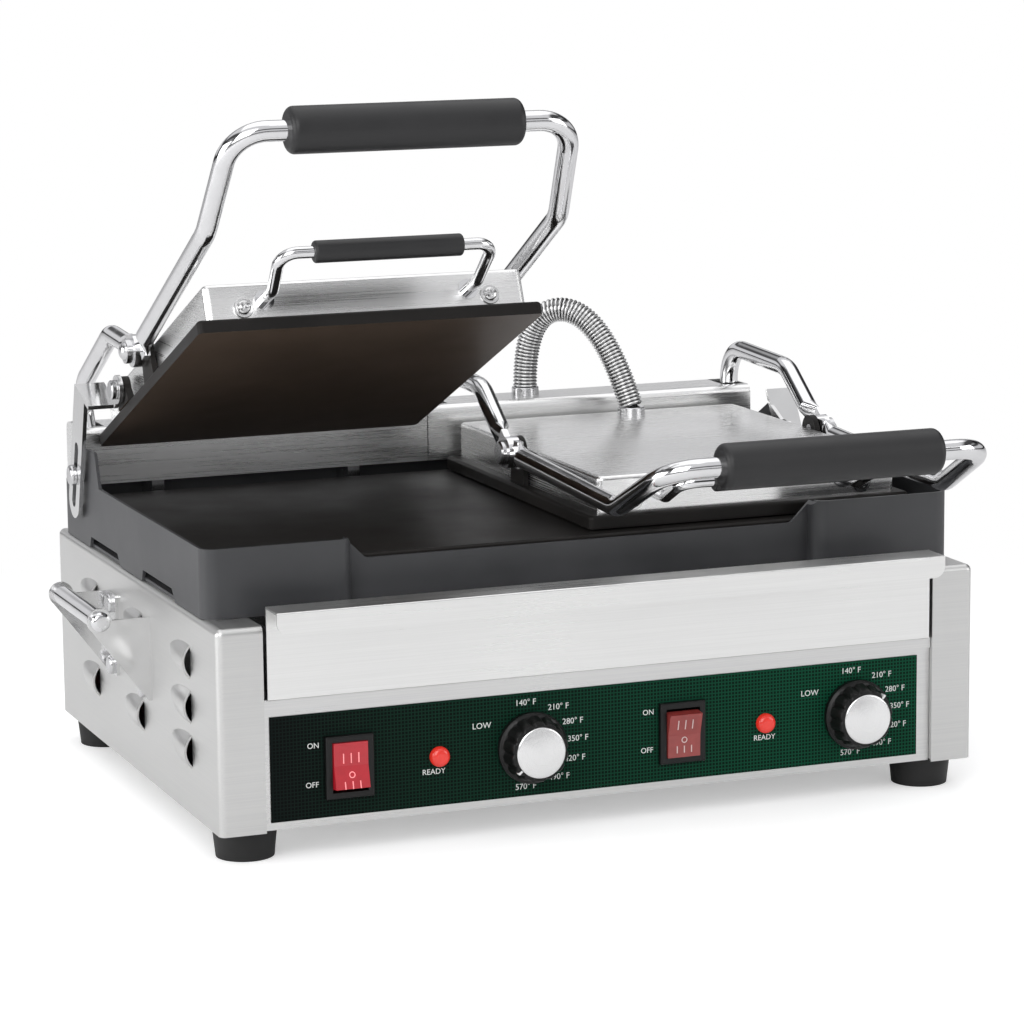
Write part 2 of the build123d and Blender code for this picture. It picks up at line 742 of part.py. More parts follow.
def knob(x):
    face, base, tip = knob_profile_face()
    body = revolve(face, axis=Axis.Y)
    for index in range(KNOB_FLUTES):
        angle = 2 * math.pi * index / KNOB_FLUTES
        reach = KNOB_BODY_R + KNOB_FLUTE_R * 0.35
        place = (reach * math.cos(angle), reach * math.sin(angle))
        body -= cyl_y(place[0], tip - 1, base - KNOB_RIM - 0.6, place[1], KNOB_FLUTE_R)
    body -= cyl_y(0, base - KNOB_SHAFT_L, base + 1, 0, KNOB_SHAFT_R + RUN_FIT)
    body -= cyl_y(0, base - RUN_FIT, base + 1, 0, THERMOSTAT_NECK_R + 2.5)
    return Pos(x, 0, CONTROL_Z) * body


def knob_cap(x):
    face, base, tip = knob_profile_face()
    cap = cyl_y(x, tip - KNOB_CAP_H, tip, CONTROL_Z, KNOB_CAP_R)
    return fillet(cap.edges().group_by(Axis.Y)[0], KNOB_CAP_H * 0.5)


def thermostat(x):
    panel_rear = PANEL_Y + SHEET
    knob_base = PANEL_Y - LABEL_T - KNOB_GAP
    body = cyl_y(x, panel_rear, panel_rear + THERMOSTAT_L, CONTROL_Z, THERMOSTAT_R)
    body += cyl_y(x, PANEL_Y - LABEL_T, panel_rear, CONTROL_Z, THERMOSTAT_NECK_R)
    tip = knob_base - KNOB_SHAFT_L + KNOB_GAP
    return body + cyl_y(x, tip, PANEL_Y, CONTROL_Z, KNOB_SHAFT_R)


# Splash pan and lower plate
def pan_outline(inset, bottom, top):
    half = PAN_W / 2 - inset
    front = PAN_FRONT_Y + inset
    middle = PAN_MID_Y + inset
    step = PAN_BLOCK_X + inset
    rear = PAN_REAR_Y - inset
    points = [
        (-half, front), (-step, front), (-step, middle), (step, middle),
        (step, front), (half, front), (half, rear), (-half, rear),
    ]
    body = prism_z(points, bottom, top)
    corners = near(body, Axis.Z, y=front) + near(body, Axis.Z, y=rear)
    return fillet(corners, PAN_CORNER_R - inset)


def splash_pan():
    half = PAN_W / 2
    shell = pan_outline(0, HOUSING_TOP, PAN_HIGH_TOP) - pan_outline(PAN_SHEET, PAN_FLOOR, PAN_HIGH_TOP + 1)
    side = [
        (0, 0), (0, PAN_SIDE_TOP), (PAN_STEP_Y0, PAN_SIDE_TOP), (PAN_STEP_Y1, PAN_HIGH_TOP),
        (PAN_HIGH_END, PAN_HIGH_TOP), (PAN_REAR_Y - 4, PAN_REAR_TOP), (PAN_REAR_Y + 1, PAN_REAR_TOP - 5),
        (PAN_REAR_Y + 1, 0),
    ]
    profile = prism_x(side, -half - 1, half + 1)
    profile = fillet(near(profile, Axis.X, y=PAN_HIGH_END), PAN_CORNER_R * 2)
    profile = fillet(near(profile, Axis.X, y=PAN_STEP_Y1), PAN_CORNER_R / 2)
    shell = shell & profile
    low = PAN_BLOCK_X - PAN_BLOCK_RUN
    dip = [
        (-PAN_BLOCK_X - PAN_BLOCK_RUN, PAN_HIGH_TOP), (-PAN_BLOCK_X - 2, PAN_BLOCK_TOP), (-low, PAN_MID_TOP),
        (low, PAN_MID_TOP), (PAN_BLOCK_X + 2, PAN_BLOCK_TOP), (PAN_BLOCK_X + PAN_BLOCK_RUN, PAN_HIGH_TOP),
    ]
    dip_solid = prism_y(dip, 0, PAN_MID_Y + PAN_SHEET + 3)
    dip_solid = fillet(near(dip_solid, Axis.Y, z=PAN_MID_TOP), PAN_CORNER_R / 2)
    shell -= dip_solid
    for y in NOTCH_Y:
        notch = [
            (y, HOUSING_TOP - 1), (y + NOTCH_RUN, HOUSING_TOP + NOTCH_H),
            (y + NOTCH_L - NOTCH_RUN / 2, HOUSING_TOP + NOTCH_H), (y + NOTCH_L, HOUSING_TOP - 1),
        ]
        for side_x in (-half - 1, half - PAN_SHEET):
            shell -= prism_x(notch, side_x, side_x + PAN_SHEET + 1)
    shell -= block(-DRAIN_W / 2, DRAIN_W / 2, LOWER_Y0 + DRAIN_D, LOWER_Y0 + 2 * DRAIN_D, 0, PAN_FLOOR + 1)
    return shell - cyl_x(-half - 1, half + 1, SLOT_BOLT_Y, SLOT_BOLT_Z, SLOT_BOLT_R)


def lower_plate():
    half = LOWER_W / 2
    low = LOWER_TOP - LOWER_T
    slab = block(-half, half, LOWER_Y0, LOWER_Y1, low, LOWER_TOP)
    slab = fillet(slab.edges().filter_by(Axis.Z), PLATE_CORNER_R)
    slab = chamfer(slab.edges().group_by(Axis.Z)[-1], 1.0)
    for x in (-half + LOWER_LEG_INSET, 0, half - LOWER_LEG_INSET):
        for y in (LOWER_Y0 + LOWER_LEG_INSET, LOWER_Y1 - LOWER_LEG_INSET):
            slab += cyl_z(x, y, PAN_FLOOR, low, LOWER_LEG_R)
    return slab


def element(x, width, y0, y1, z):
    half = width / 2
    pitch = width / (ELEMENT_LANES - 1)
    points = [(x - half, y1, z)]
    for lane in range(ELEMENT_LANES):
        place = x - half + lane * pitch
        first, last = (y1, y0) if lane % 2 == 0 else (y0, y1)
        if lane:
            points.append((place, first, z))
        points.append((place, last, z))
    return rod(points, ELEMENT_R, ELEMENT_BEND)


def lower_elements():
    z = LOWER_TOP - LOWER_T - ELEMENT_R
    inset = 2.2 * LOWER_LEG_INSET
    width = LOWER_W / 2 - 2 * inset
    pair = [element(side * LOWER_W / 4, width, LOWER_Y0 + inset, LOWER_Y1 - inset, z) for side in (-1, 1)]
    return Compound(pair)


# Upper plates, covers and elements
def lug(centre, radius, base, x0, x1, bore):
    web = [
        (centre[0] - base / 2, PLATE_TOP), (centre[0] - radius * 0.9, centre[1]),
        (centre[0] + radius * 0.9, centre[1]), (centre[0] + base / 2, PLATE_TOP),
    ]
    ear = prism_x(web, x0, x1) + cyl_x(x0, x1, centre[0], centre[1], radius)
    ear -= block(x0 - 1, x1 + 1, centre[0] - base, centre[0] + base, 0, PLATE_TOP - 0.5)
    return ear - cyl_x(x0 - 1, x1 + 1, centre[0], centre[1], bore)


def upper_plate(side):
    half = PLATE_W / 2
    rear = PLATE_FRONT_Y + PLATE_D
    slab = block(-half, half, PLATE_FRONT_Y, rear, PLATE_LOW, PLATE_TOP)
    slab = fillet(slab.edges().filter_by(Axis.Z), PLATE_CORNER_R)
    slab = fillet(slab.edges().group_by(Axis.Z)[-1], 2.0)
    for x in (-LUG_X - LUG_T, LUG_X):
        slab += lug(TILT, LUG_R, LUG_BASE, x, x + LUG_T, TILT_BOLT_R + RUN_FIT)
    x0, x1 = sorted((side * GUIDE_LUG_X, side * (half - 0.05)))
    return slab + lug(GUIDE, GUIDE_LUG_R, GUIDE_LUG_BASE, x0, x1, GUIDE_BOLT_R)


def lid_cover():
    half = COVER_W / 2
    outer = block(-half, half, COVER_FRONT_Y, COVER_REAR_Y, PLATE_TOP, COVER_TOP)
    outer = fillet(outer.edges().filter_by(Axis.Z), COVER_CORNER_R)
    outer = fillet(outer.edges().group_by(Axis.Z)[-1], COVER_EDGE_R)
    gap = COVER_SHEET
    y0 = COVER_FRONT_Y + gap
    y1 = COVER_REAR_Y - gap
    inner = block(-half + gap, half - gap, y0, y1, PLATE_TOP - 1, COVER_TOP - gap)
    inner = fillet(inner.edges().filter_by(Axis.Z), COVER_CORNER_R - gap)
    inner = fillet(inner.edges().group_by(Axis.Z)[-1], COVER_EDGE_R - gap)
    cover = outer - inner
    cover -= cyl_z(HOSE_LID_X, HOSE_LID_Y, PLATE_TOP, COVER_TOP + 1, HOSE_BORE_R + 1.5)
    for x in (-AUX_FOOT_X, AUX_FOOT_X):
        z = PLATE_LOW + AUX_FOOT_UP
        cover -= cyl_y(x, COVER_FRONT_Y - 1, COVER_FRONT_Y + gap + 1, z, AUX_ROD_R)
    return cover


def upper_element():
    inset = 3 * COVER_CORNER_R + 4 * ELEMENT_R
    y0 = COVER_FRONT_Y + inset
    y1 = COVER_REAR_Y - 2 * inset
    return element(0, COVER_W - 2 * inset, y0, y1, PLATE_TOP + ELEMENT_R)


# Lid arms: handle frame in front, goosenecks and hinge shaft behind
def eye_end(pivot, toward, inner):
    dy = toward[0] - pivot[0]
    dz = toward[1] - pivot[1]
    length = math.hypot(dy, dz)
    uy, uz = dy / length, dz / length
    shift = -EYE_T / 2 if inner else EYE_T / 2
    origin = (ROD_X, pivot[0] + EYE_TAPER * uy, pivot[1] + EYE_TAPER * uz)
    start = Plane(origin=origin, x_dir=(1, 0, 0), z_dir=(0, uy, uz))
    end_at = (ROD_X + shift, pivot[0] + EYE_START * uy, pivot[1] + EYE_START * uz)
    end = Plane(origin=end_at, x_dir=(1, 0, 0), z_dir=(0, uy, uz))
    taper = loft([end * Ellipse(EYE_T / 2, EYE_R * 0.85), start * Circle(ROD_R)])
    x0 = ROD_X - EYE_T if inner else ROD_X
    half = EYE_R * 0.85
    reach = EYE_START + 0.2
    corners = []
    for along, across in ((0, -half), (reach, -half), (reach, half), (0, half)):
        corners.append((along * uy - across * uz, along * uz + across * uy))
    flat = prism_x([(pivot[0] + y, pivot[1] + z) for y, z in corners], x0, x0 + EYE_T)
    return taper + flat + cyl_x(x0, x0 + EYE_T, pivot[0], pivot[1], EYE_R)


def rod_start(pivot, toward, x):
    dy = toward[0] - pivot[0]
    dz = toward[1] - pivot[1]
    length = math.hypot(dy, dz)
    return (x, pivot[0] + EYE_TAPER * dy / length, pivot[1] + EYE_TAPER * dz / length)


def handle_frame():
    elbow = (ELBOW_Y, ELBOW_Z)
    points = [
        rod_start(TILT, elbow, ROD_X),
        (ROD_X, ELBOW_Y, ELBOW_Z),
        (GRIP_ROD_X, GRIP_Y, GRIP_Z),
        (-GRIP_ROD_X, GRIP_Y, GRIP_Z),
        (-ROD_X, ELBOW_Y, ELBOW_Z),
        rod_start(TILT, elbow, -ROD_X),
    ]
    frame = rod(points, ROD_R, FRAME_BEND)
    end = eye_end(TILT, elbow, True)
    frame = frame + end + mirror_x(end)
    return frame - cyl_x(-ROD_X - 10, ROD_X + 10, TILT[0], TILT[1], TILT_BOLT_R)


def rear_arms():
    neck = (NECK_Y, NECK_Z)
    points = [
        rod_start(TILT, neck, ROD_X),
        (ROD_X, NECK_Y, NECK_Z),
        (ROD_X, LEG_Y, LEG_TOP),
        (ROD_X, HINGE_Y, HINGE_Z),
    ]
    gooseneck = rod(points, ROD_R, NECK_BEND) + eye_end(TILT, neck, False)
    arms = gooseneck + mirror_x(gooseneck)
    arms += cyl_x(-ROD_X - ROD_R, ROD_X + ROD_R, HINGE_Y, HINGE_Z, SHAFT_R)
    return arms - cyl_x(-ROD_X - 10, ROD_X + 10, TILT[0], TILT[1], TILT_BOLT_R)


def grip():
    half = GRIP_L / 2
    sleeve = cyl_x(-half, half, GRIP_Y, GRIP_Z, GRIP_R)
    sleeve = fillet(sleeve.edges().filter_by(GeomType.CIRCLE), GRIP_EDGE_R)
    return sleeve - cyl_x(-half - 1, half + 1, GRIP_Y, GRIP_Z, ROD_R)


def tilt_bolts(side):
    inner_end = LUG_X
    eye_out = ROD_X + EYE_T
    outer = cyl_x(inner_end, eye_out, TILT[0], TILT[1], TILT_BOLT_R)
    outer += cyl_x(eye_out, eye_out + TILT_HEAD_H, TILT[0], TILT[1], TILT_HEAD_R)
    dome = cyl_x(eye_out, eye_out + TILT_DOME_H, TILT[0], TILT[1], TILT_HEAD_R - 1.5)
    outer += fillet(dome.edges().group_by(Axis.X)[-1], TILT_HEAD_R - 2.5)
    inner = cyl_x(inner_end, eye_out, TILT[0], TILT[1], TILT_BOLT_R)
    head = cyl_x(eye_out, eye_out + TILT_HEAD_H, TILT[0], TILT[1], TILT_HEAD_R)
    inner += chamfer(head.edges().group_by(Axis.X)[-1], 1.0)
    if side < 0:
        return Compound([mirror_x(outer), inner])
    return Compound([outer, mirror_x(inner)])


# Guide links, with the slot that rides on the pan's bolt
def link_point(along, across):
    angle = math.radians(LINK_CLOSED_ANGLE)
    c, s = math.cos(angle), math.sin(angle)
    return (GUIDE[0] + along * c - across * s, GUIDE[1] + along * s + across * c)


def link_strip(start, end, low, high):
    return [link_point(start, low), link_point(end, low), link_point(end, high), link_point(start, high)]


def guide_link(side):
    low = LINK_OFFSET - LINK_W / 2
    high = LINK_OFFSET + LINK_W / 2
    strap_out = STRAP_X + LINK_T
    leg = prism_x(link_strip(LINK_SHELF, LINK_END, low, high), STRAP_X, strap_out)
    tip = link_point(LINK_END, LINK_OFFSET)
    leg += cyl_x(STRAP_X, strap_out, tip[0], tip[1], LINK_W / 2)
    shelf_end = LINK_SHELF + LINK_T
    shelf_low = LINK_EAR_START
    shelf = prism_x(link_strip(LINK_SHELF, shelf_end, shelf_low, high), LINK_EAR_X, strap_out)
    ear_out = LINK_EAR_X + LINK_T
    ear_points = [
        link_point(0, -LINK_EAR_R * 0.9),
        link_point(shelf_end, LINK_EAR_START),
        link_point(shelf_end, LINK_EAR_END),
        link_point(0, LINK_EAR_R * 0.9),
    ]
    ear = prism_x(ear_points, LINK_EAR_X, ear_out)
    ear += cyl_x(LINK_EAR_X, ear_out, GUIDE[0], GUIDE[1], LINK_EAR_R)
    first = link_point(LINK_SLOT_START, LINK_OFFSET)
    last = link_point(LINK_SLOT_END, LINK_OFFSET)
    slot = cyl_x(STRAP_X - 1, strap_out + 1, first[0], first[1], LINK_SLOT_R)
    slot += cyl_x(STRAP_X - 1, strap_out + 1, last[0], last[1], LINK_SLOT_R)
    edge_low = LINK_OFFSET - LINK_SLOT_R
    edge_high = LINK_OFFSET + LINK_SLOT_R
    slot_points = link_strip(LINK_SLOT_START, LINK_SLOT_END, edge_low, edge_high)
    slot += prism_x(slot_points, STRAP_X - 1, strap_out + 1)
    link = leg + shelf + ear - slot
    link -= cyl_x(LINK_EAR_X - 1, ear_out + 1, GUIDE[0], GUIDE[1], GUIDE_BOLT_R + RUN_FIT)
    return mirror_x(link) if side < 0 else link


def guide_bolt(side):
    ear_out = LINK_EAR_X + LINK_T + SIDE_PLAY
    bolt = cyl_x(GUIDE_LUG_X, ear_out, GUIDE[0], GUIDE[1], GUIDE_BOLT_R)
    nut = cyl_x(ear_out, ear_out + GUIDE_NUT_H, GUIDE[0], GUIDE[1], GUIDE_NUT_R)
    bolt += chamfer(nut.edges().group_by(Axis.X)[-1], 0.8)
    return mirror_x(bolt) if side < 0 else bolt


def slot_bolt():
    wall = PAN_W / 2
    strap = LID_X + STRAP_X
    spacer_end = strap - SIDE_PLAY
    head_start = strap + LINK_T + SIDE_PLAY
    bolt = cyl_x(wall - PAN_SHEET - SLOT_NUT_H, head_start, SLOT_BOLT_Y, SLOT_BOLT_Z, SLOT_BOLT_R)
    bolt += cyl_x(wall, spacer_end, SLOT_BOLT_Y, SLOT_BOLT_Z, SLOT_SPACER_R)
    bolt += cyl_x(wall - PAN_SHEET - SLOT_NUT_H, wall - PAN_SHEET, SLOT_BOLT_Y, SLOT_BOLT_Z, SLOT_NUT_R)
    head = cyl_x(head_start, head_start + SLOT_HEAD_H, SLOT_BOLT_Y, SLOT_BOLT_Z, SLOT_HEAD_R)
    return bolt + fillet(head.edges().group_by(Axis.X)[-1], SLOT_HEAD_H / 2)


# Hinge bearings, counterbalance springs and covers
def bearing(x):
    half = BEARING_T / 2
    y0 = HINGE_Y - BEARING_W / 2
    top = STRIP_TOP - STRIP_SHEET
    plate = block(x - half, x + half, y0, y0 + BEARING_W, PAN_FLOOR, top)
    plate = fillet(near(plate, Axis.X, z=top), STRIP_R)
    foot = BEARING_FOOT / 2
    plate += block(x - foot, x + foot, y0, y0 + BEARING_W, PAN_FLOOR, PAN_FLOOR + 2 * SHEET)
    return plate - cyl_x(x - half - 1, x + half + 1, HINGE_Y, HINGE_Z, SHAFT_R + RUN_FIT)


def hinge_bearings():
    places = [side * LID_X + offset for side in (-1, 1) for offset in (-BEARING_X, BEARING_X)]
    return Compound([bearing(x) for x in places])


def springs():
    coils = []
    for side in (-1, 1):
        x0 = side * LID_X + BEARING_X - BEARING_T / 2 - SEAT_GAP - SPRING_L
        tube = cyl_x(x0, x0 + SPRING_L, HINGE_Y, HINGE_Z, SPRING_R)
        coils.append(tube - cyl_x(x0 - 1, x0 + SPRING_L + 1, HINGE_Y, HINGE_Z, SPRING_BORE_R))
    return Compound(coils)


def hinge_cover():
    half = STRIP_HALF
    outer = block(-half, half, STRIP_Y0, STRIP_Y1, STRIP_LOW, STRIP_TOP)
    outer = fillet(near(outer, Axis.X, z=STRIP_TOP), STRIP_R)
    gap = STRIP_SHEET
    inner = block(-half + gap, half - gap, STRIP_Y0 + gap, STRIP_Y1 - gap, STRIP_LOW - 1, STRIP_TOP - gap)
    inner = fillet(near(inner, Axis.X, z=STRIP_TOP - gap), STRIP_R - gap)
    cover = outer - inner
    for x in (-ROD_X, ROD_X):
        slot_half = STRIP_SLOT_W / 2
        low = STRIP_TOP - 3 * gap
        cover -= block(x - slot_half, x + slot_half, STRIP_SLOT_Y0, STRIP_SLOT_Y1, low, STRIP_TOP + 1)
    return cover - cyl_z(HOSE_BASE_X, HOSE_BASE_Y, STRIP_LOW, STRIP_TOP + 1, HOSE_BORE_R + 1.5)


# Auxiliary handle
def aux_rod():
    foot_z = PLATE_LOW + AUX_FOOT_UP
    bar_z = PLATE_LOW + AUX_BAR_UP
    bar_y = COVER_FRONT_Y - AUX_OUT
    mid_y = COVER_FRONT_Y - AUX_OUT * 0.4
    points = [
        (AUX_FOOT_X, COVER_FRONT_Y + COVER_SHEET + 2.0, foot_z),
        (AUX_FOOT_X, mid_y, foot_z),
        (AUX_BAR_X, bar_y, bar_z),
        (-AUX_BAR_X, bar_y, bar_z),
        (-AUX_FOOT_X, mid_y, foot_z),
        (-AUX_FOOT_X, COVER_FRONT_Y + COVER_SHEET + 2.0, foot_z),
    ]
    bar = rod(points, AUX_ROD_R, AUX_BEND)
    for x in (-AUX_FOOT_X, AUX_FOOT_X):
        washer = cyl_y(x, COVER_FRONT_Y - AUX_WASHER_T, COVER_FRONT_Y, foot_z, AUX_WASHER_R)
        bar += washer
    return bar


def aux_sleeve():
    bar_z = PLATE_LOW + AUX_BAR_UP
    bar_y = COVER_FRONT_Y - AUX_OUT
    half = AUX_SLEEVE_L / 2
    sleeve = cyl_x(-half, half, bar_y, bar_z, AUX_SLEEVE_R)
    sleeve = fillet(sleeve.edges().filter_by(GeomType.CIRCLE), 1.5)
    return sleeve - cyl_x(-half - 1, half + 1, bar_y, bar_z, AUX_ROD_R)


# Conduits with their fittings
def hose_points(side):
    base_z = STRIP_TOP + HOSE_FIT_H
    base = (side * LID_X + HOSE_BASE_X, HOSE_BASE_Y, base_z)
    lid = (HOSE_LID_Y, COVER_TOP + HOSE_FIT_H)
    x = side * LID_X + HOSE_LID_X
    if side > 0:
        high = HOSE_RISE_CLOSED
        return [base, (base[0], base[1], high), (x, lid[0], high), (x, lid[0], lid[1])]
    above = (lid[0], lid[1] + HOSE_DROP_OPEN)
    end, corner = [swing(swing(point, HINGE, ARM_OPEN), TILT_OPEN, -LID_TILT) for point in (lid, above)]
    return [base, (base[0], base[1], HOSE_RISE_OPEN), (x, corner[0], corner[1]), (x, end[0], end[1])]


def conduit(side):
    bend = HOSE_BEND_CLOSED if side > 0 else HOSE_BEND_OPEN
    points = hose_points(side)
    path = rounded_path(points, bend)
    pitch = path.length / HOSE_RIBS
    across = (Vector(*points[2]) - Vector(*points[1])).cross(Vector(0, 0, 1))
    steps = ((0.0, HOSE_VALLEY_R), (0.25, HOSE_R), (0.65, HOSE_R), (0.9, HOSE_VALLEY_R))
    sections = []
    places = [(index + share, radius) for index in range(HOSE_RIBS) for share, radius in steps]
    places.append((HOSE_RIBS, HOSE_VALLEY_R))
    for place, radius in places:
        spot = place / HOSE_RIBS
        plane = Plane(origin=path.position_at(spot), x_dir=across, z_dir=path.tangent_at(spot))
        sections.append(plane * Circle(radius))
    skin = loft(sections, ruled=True)
    bore = sweep(Plane(origin=points[0], z_dir=(0, 0, 1)) * Circle(HOSE_BORE_R), path=path)
    return skin - bore


def hose_fitting(z, sheet):
    ring = cyl_z(0, 0, z, z + HOSE_FIT_H, HOSE_FIT_R)
    ring = fillet(ring.edges().group_by(Axis.Z)[-1], 1.0)
    ring += cyl_z(0, 0, z - sheet, z, HOSE_BORE_R + 1.5)
    ring += cyl_z(0, 0, z - sheet - HOSE_NUT_H, z - sheet, HOSE_FIT_R - 1.0)
    return ring - cyl_z(0, 0, z - sheet - HOSE_NUT_H - 1, z + HOSE_FIT_H + 1, HOSE_BORE_R)


def base_fittings():
    ring = hose_fitting(STRIP_TOP, STRIP_SHEET)
    return Compound([Pos(side * LID_X + HOSE_BASE_X, HOSE_BASE_Y, 0) * ring for side in (-1, 1)])


def lid_fitting():
    return Pos(HOSE_LID_X, HOSE_LID_Y, 0) * hose_fitting(COVER_TOP, COVER_SHEET)


def cable_gland():
    rear = HOUSING_D - SHEET
    gland = cyl_y(GLAND_X, rear - SHEET, HOUSING_D + GLAND_OUT, GLAND_Z, GLAND_R)
    gland = chamfer(gland.edges().group_by(Axis.Y)[-1], 1.5)
    gland += cyl_y(GLAND_X, rear, rear + GLAND_NUT_H, GLAND_Z, GLAND_NUT_R)
    gland += cyl_y(GLAND_X, rear - SHEET - GLAND_NUT_H, rear - SHEET, GLAND_Z, GLAND_NUT_R)
    return gland - cyl_y(GLAND_X, rear - 4 * SHEET - GLAND_NUT_H, REAR_MOST + 1, GLAND_Z, GLAND_BORE_R)


def build_all():
    nodes = {
        "left_side_panel": side_panel(),
        "bottom_panel": bottom_panel(),
        "back_panel": back_panel(),
        "feet": at_feet(feet()),
        "foot_screws": at_feet(foot_screw()),
        "carry_brackets": carry_brackets(),
        "carry_tubes": both_sides(carry_tube()),
        "carry_bolts": carry_bolts(),
        "tray_shelf": tray_shelf(),
        "control_panel": control_panel(),
        "control_label": control_label(),
        "drip_tray": drip_tray(),
        "splash_pan": splash_pan(),
        "lower_plate": lower_plate(),
        "lower_elements": lower_elements(),
        "hinge_bearings": hinge_bearings(),
        "counterbalance_springs": springs(),
        "slot_bolts": both_sides(slot_bolt()),
        "conduit_base_fittings": base_fittings(),
        "cable_gland": cable_gland(),
        "switch_bezels": Compound([switch_bezel(x) for x in SWITCH_X]),
        "lamps": Compound([lamp(x) for x in LAMP_X]),
        "thermostats": Compound([thermostat(x) for x in KNOB_X]),
    }
    nodes["right_side_panel"] = mirror_x(nodes["left_side_panel"])
    for index, name in enumerate(("left", "right")):
        side = -1 if name == "left" else 1
        nodes[name + "_rocker"] = rocker(SWITCH_X[index], -side * ROCKER_TILT)
        nodes[name + "_knob"] = knob(KNOB_X[index])
        nodes[name + "_knob_cap"] = knob_cap(KNOB_X[index])
        nodes[name + "_hinge_cover"] = Pos(side * LID_X, 0, 0) * hinge_cover()
        nodes[name + "_handle_frame"] = arm_place(handle_frame(), side)
        nodes[name + "_rear_arms"] = arm_place(rear_arms(), side)
        nodes[name + "_grip"] = arm_place(grip(), side)
        nodes[name + "_tilt_bolts"] = arm_place(tilt_bolts(side), side)
        nodes[name + "_upper_plate"] = lid_place(upper_plate(side), side)
        nodes[name + "_lid_cover"] = lid_place(lid_cover(), side)
        nodes[name + "_upper_element"] = lid_place(upper_element(), side)
        nodes[name + "_aux_rod"] = lid_place(aux_rod(), side)
        nodes[name + "_aux_sleeve"] = lid_place(aux_sleeve(), side)
        nodes[name + "_lid_fitting"] = lid_place(lid_fitting(), side)
        nodes[name + "_guide_bolt"] = lid_place(guide_bolt(side), side)
        nodes[name + "_guide_link"] = link_place(guide_link(side), side)
        nodes[name + "_conduit"] = conduit(side)
    return nodes


os.makedirs("parts", exist_ok=True)
for node_name, node_shape in build_all().items():
    export_step(Pos(0, -MIDDLE_Y, 0) * node_shape, "parts/" + node_name + ".step")
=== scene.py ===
import math

import bmesh
import bpy
from mathutils import Matrix, Vector


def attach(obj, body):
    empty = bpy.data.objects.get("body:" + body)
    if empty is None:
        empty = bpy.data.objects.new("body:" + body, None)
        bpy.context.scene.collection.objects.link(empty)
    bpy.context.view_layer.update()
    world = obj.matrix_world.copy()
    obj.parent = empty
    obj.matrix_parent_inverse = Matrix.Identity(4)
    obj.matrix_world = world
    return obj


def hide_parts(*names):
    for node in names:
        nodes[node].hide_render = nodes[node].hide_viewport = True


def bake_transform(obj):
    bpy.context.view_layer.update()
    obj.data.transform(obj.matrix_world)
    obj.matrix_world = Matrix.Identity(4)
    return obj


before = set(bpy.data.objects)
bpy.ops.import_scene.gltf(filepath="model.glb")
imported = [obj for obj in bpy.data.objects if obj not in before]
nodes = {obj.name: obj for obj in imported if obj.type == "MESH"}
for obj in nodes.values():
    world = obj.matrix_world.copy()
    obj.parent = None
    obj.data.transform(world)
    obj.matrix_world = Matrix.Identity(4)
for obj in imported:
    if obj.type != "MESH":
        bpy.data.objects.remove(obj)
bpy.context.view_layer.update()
MM = 0.001
SHIFT_Y = 147.75
LABEL_Y = 2.9
KNOB_X = (-48.5, 161.5)
SWITCH_X = (-160.5, 47.0)
CONTROL_Z = 52.0
HINGE = (322.0, 196.0)
TILT_OPEN = (202.160, 270.295)
LID_X = 116.25
ARM_ANGLE = 32.0
TILT_ANGLE = -8.4
LID_ANGLE = ARM_ANGLE + TILT_ANGLE
WORLD_LIGHT = 0.97
WORLD_LOW = (0.21, 0.21, 0.215, 1)
WORLD_HIGH = (0.80, 0.80, 0.81, 1)
WORLD_BANDS = (
    (0.02, 0.04),
    (0.06, 0.04),
    (0.10, 0.74),
    (0.29, 0.78),
    (0.35, 0.08),
    (0.45, 0.09),
    (0.53, 0.78),
)
WORLD_SIDES = ((0.56, 1.0), (0.64, 0.10), (0.80, 0.08), (0.88, 0.80))
FLOOR_HALF = 14.0
FLOOR_DROP = 0.0002
FLOOR_GLOW = 0.38
FLOOR_FADE = (0.42, 0.78)
LAMPS = (
    ("key", (-1.5, -1.9, 1.5), (0, 0, 0.12), (2.0, 2.0), 32),
    ("side", (-2.3, 0.1, 0.7), (0, 0.05, 0.12), (1.7, 1.2), 22),
    ("top", (0.2, 0.3, 2.0), (0, 0, 0.1), (2.2, 2.2), 9),
    ("fill", (1.9, -1.5, 0.9), (0, 0, 0.15), (1.4, 1.4), 12),
)
CAMERA_PLACE = (-825.76, -1973.26, 572.39)
CAMERA_ANGLES = (0.37010, 0.17770, -0.0098)
CAMERA_LENS = 131.81
CAMERA_SENSOR = 36.0
LABEL_SPAN = (-207.5, 202.5)
GRID_PITCH = 2.1
GRID_LINE = 0.66
PRINT_LIFT = 0.06
PRINT_DEPTH = 0.05
CAPITAL_SHARE = 0.7
DIAL_TEXT = 3.5
SMALL_TEXT = 3.2
MARK_LIFT = 0.25
POINTER_ANGLE = (-130.5, 41.5)
POINTER_REACH = (15.3, 18.1)
POINTER_OUT = (11.0, 15.1)
POINTER_HALF = 0.6
HOSE_VALLEY = 6.8
HOSE_CREST = 8.1
HOSE_PITCH = 2.35
HOSE_STEPS = 8
HOSE_SIDES = 28
HOSE_BASE = (-37.75, 331.0, 213.0)
HOSE_LID = (17.25, 280.0, 203.0)
HOSE_LEAN = 13.0
SCREW_X = (-76.0, 76.0)
SCREW_SIDES = 32
SLOT_LONG, SLOT_THIN = 2.3, 0.45
SLOT_OUT = (-4.5, -2.6)
SCREW_PLACE = (58.5, 182.5)
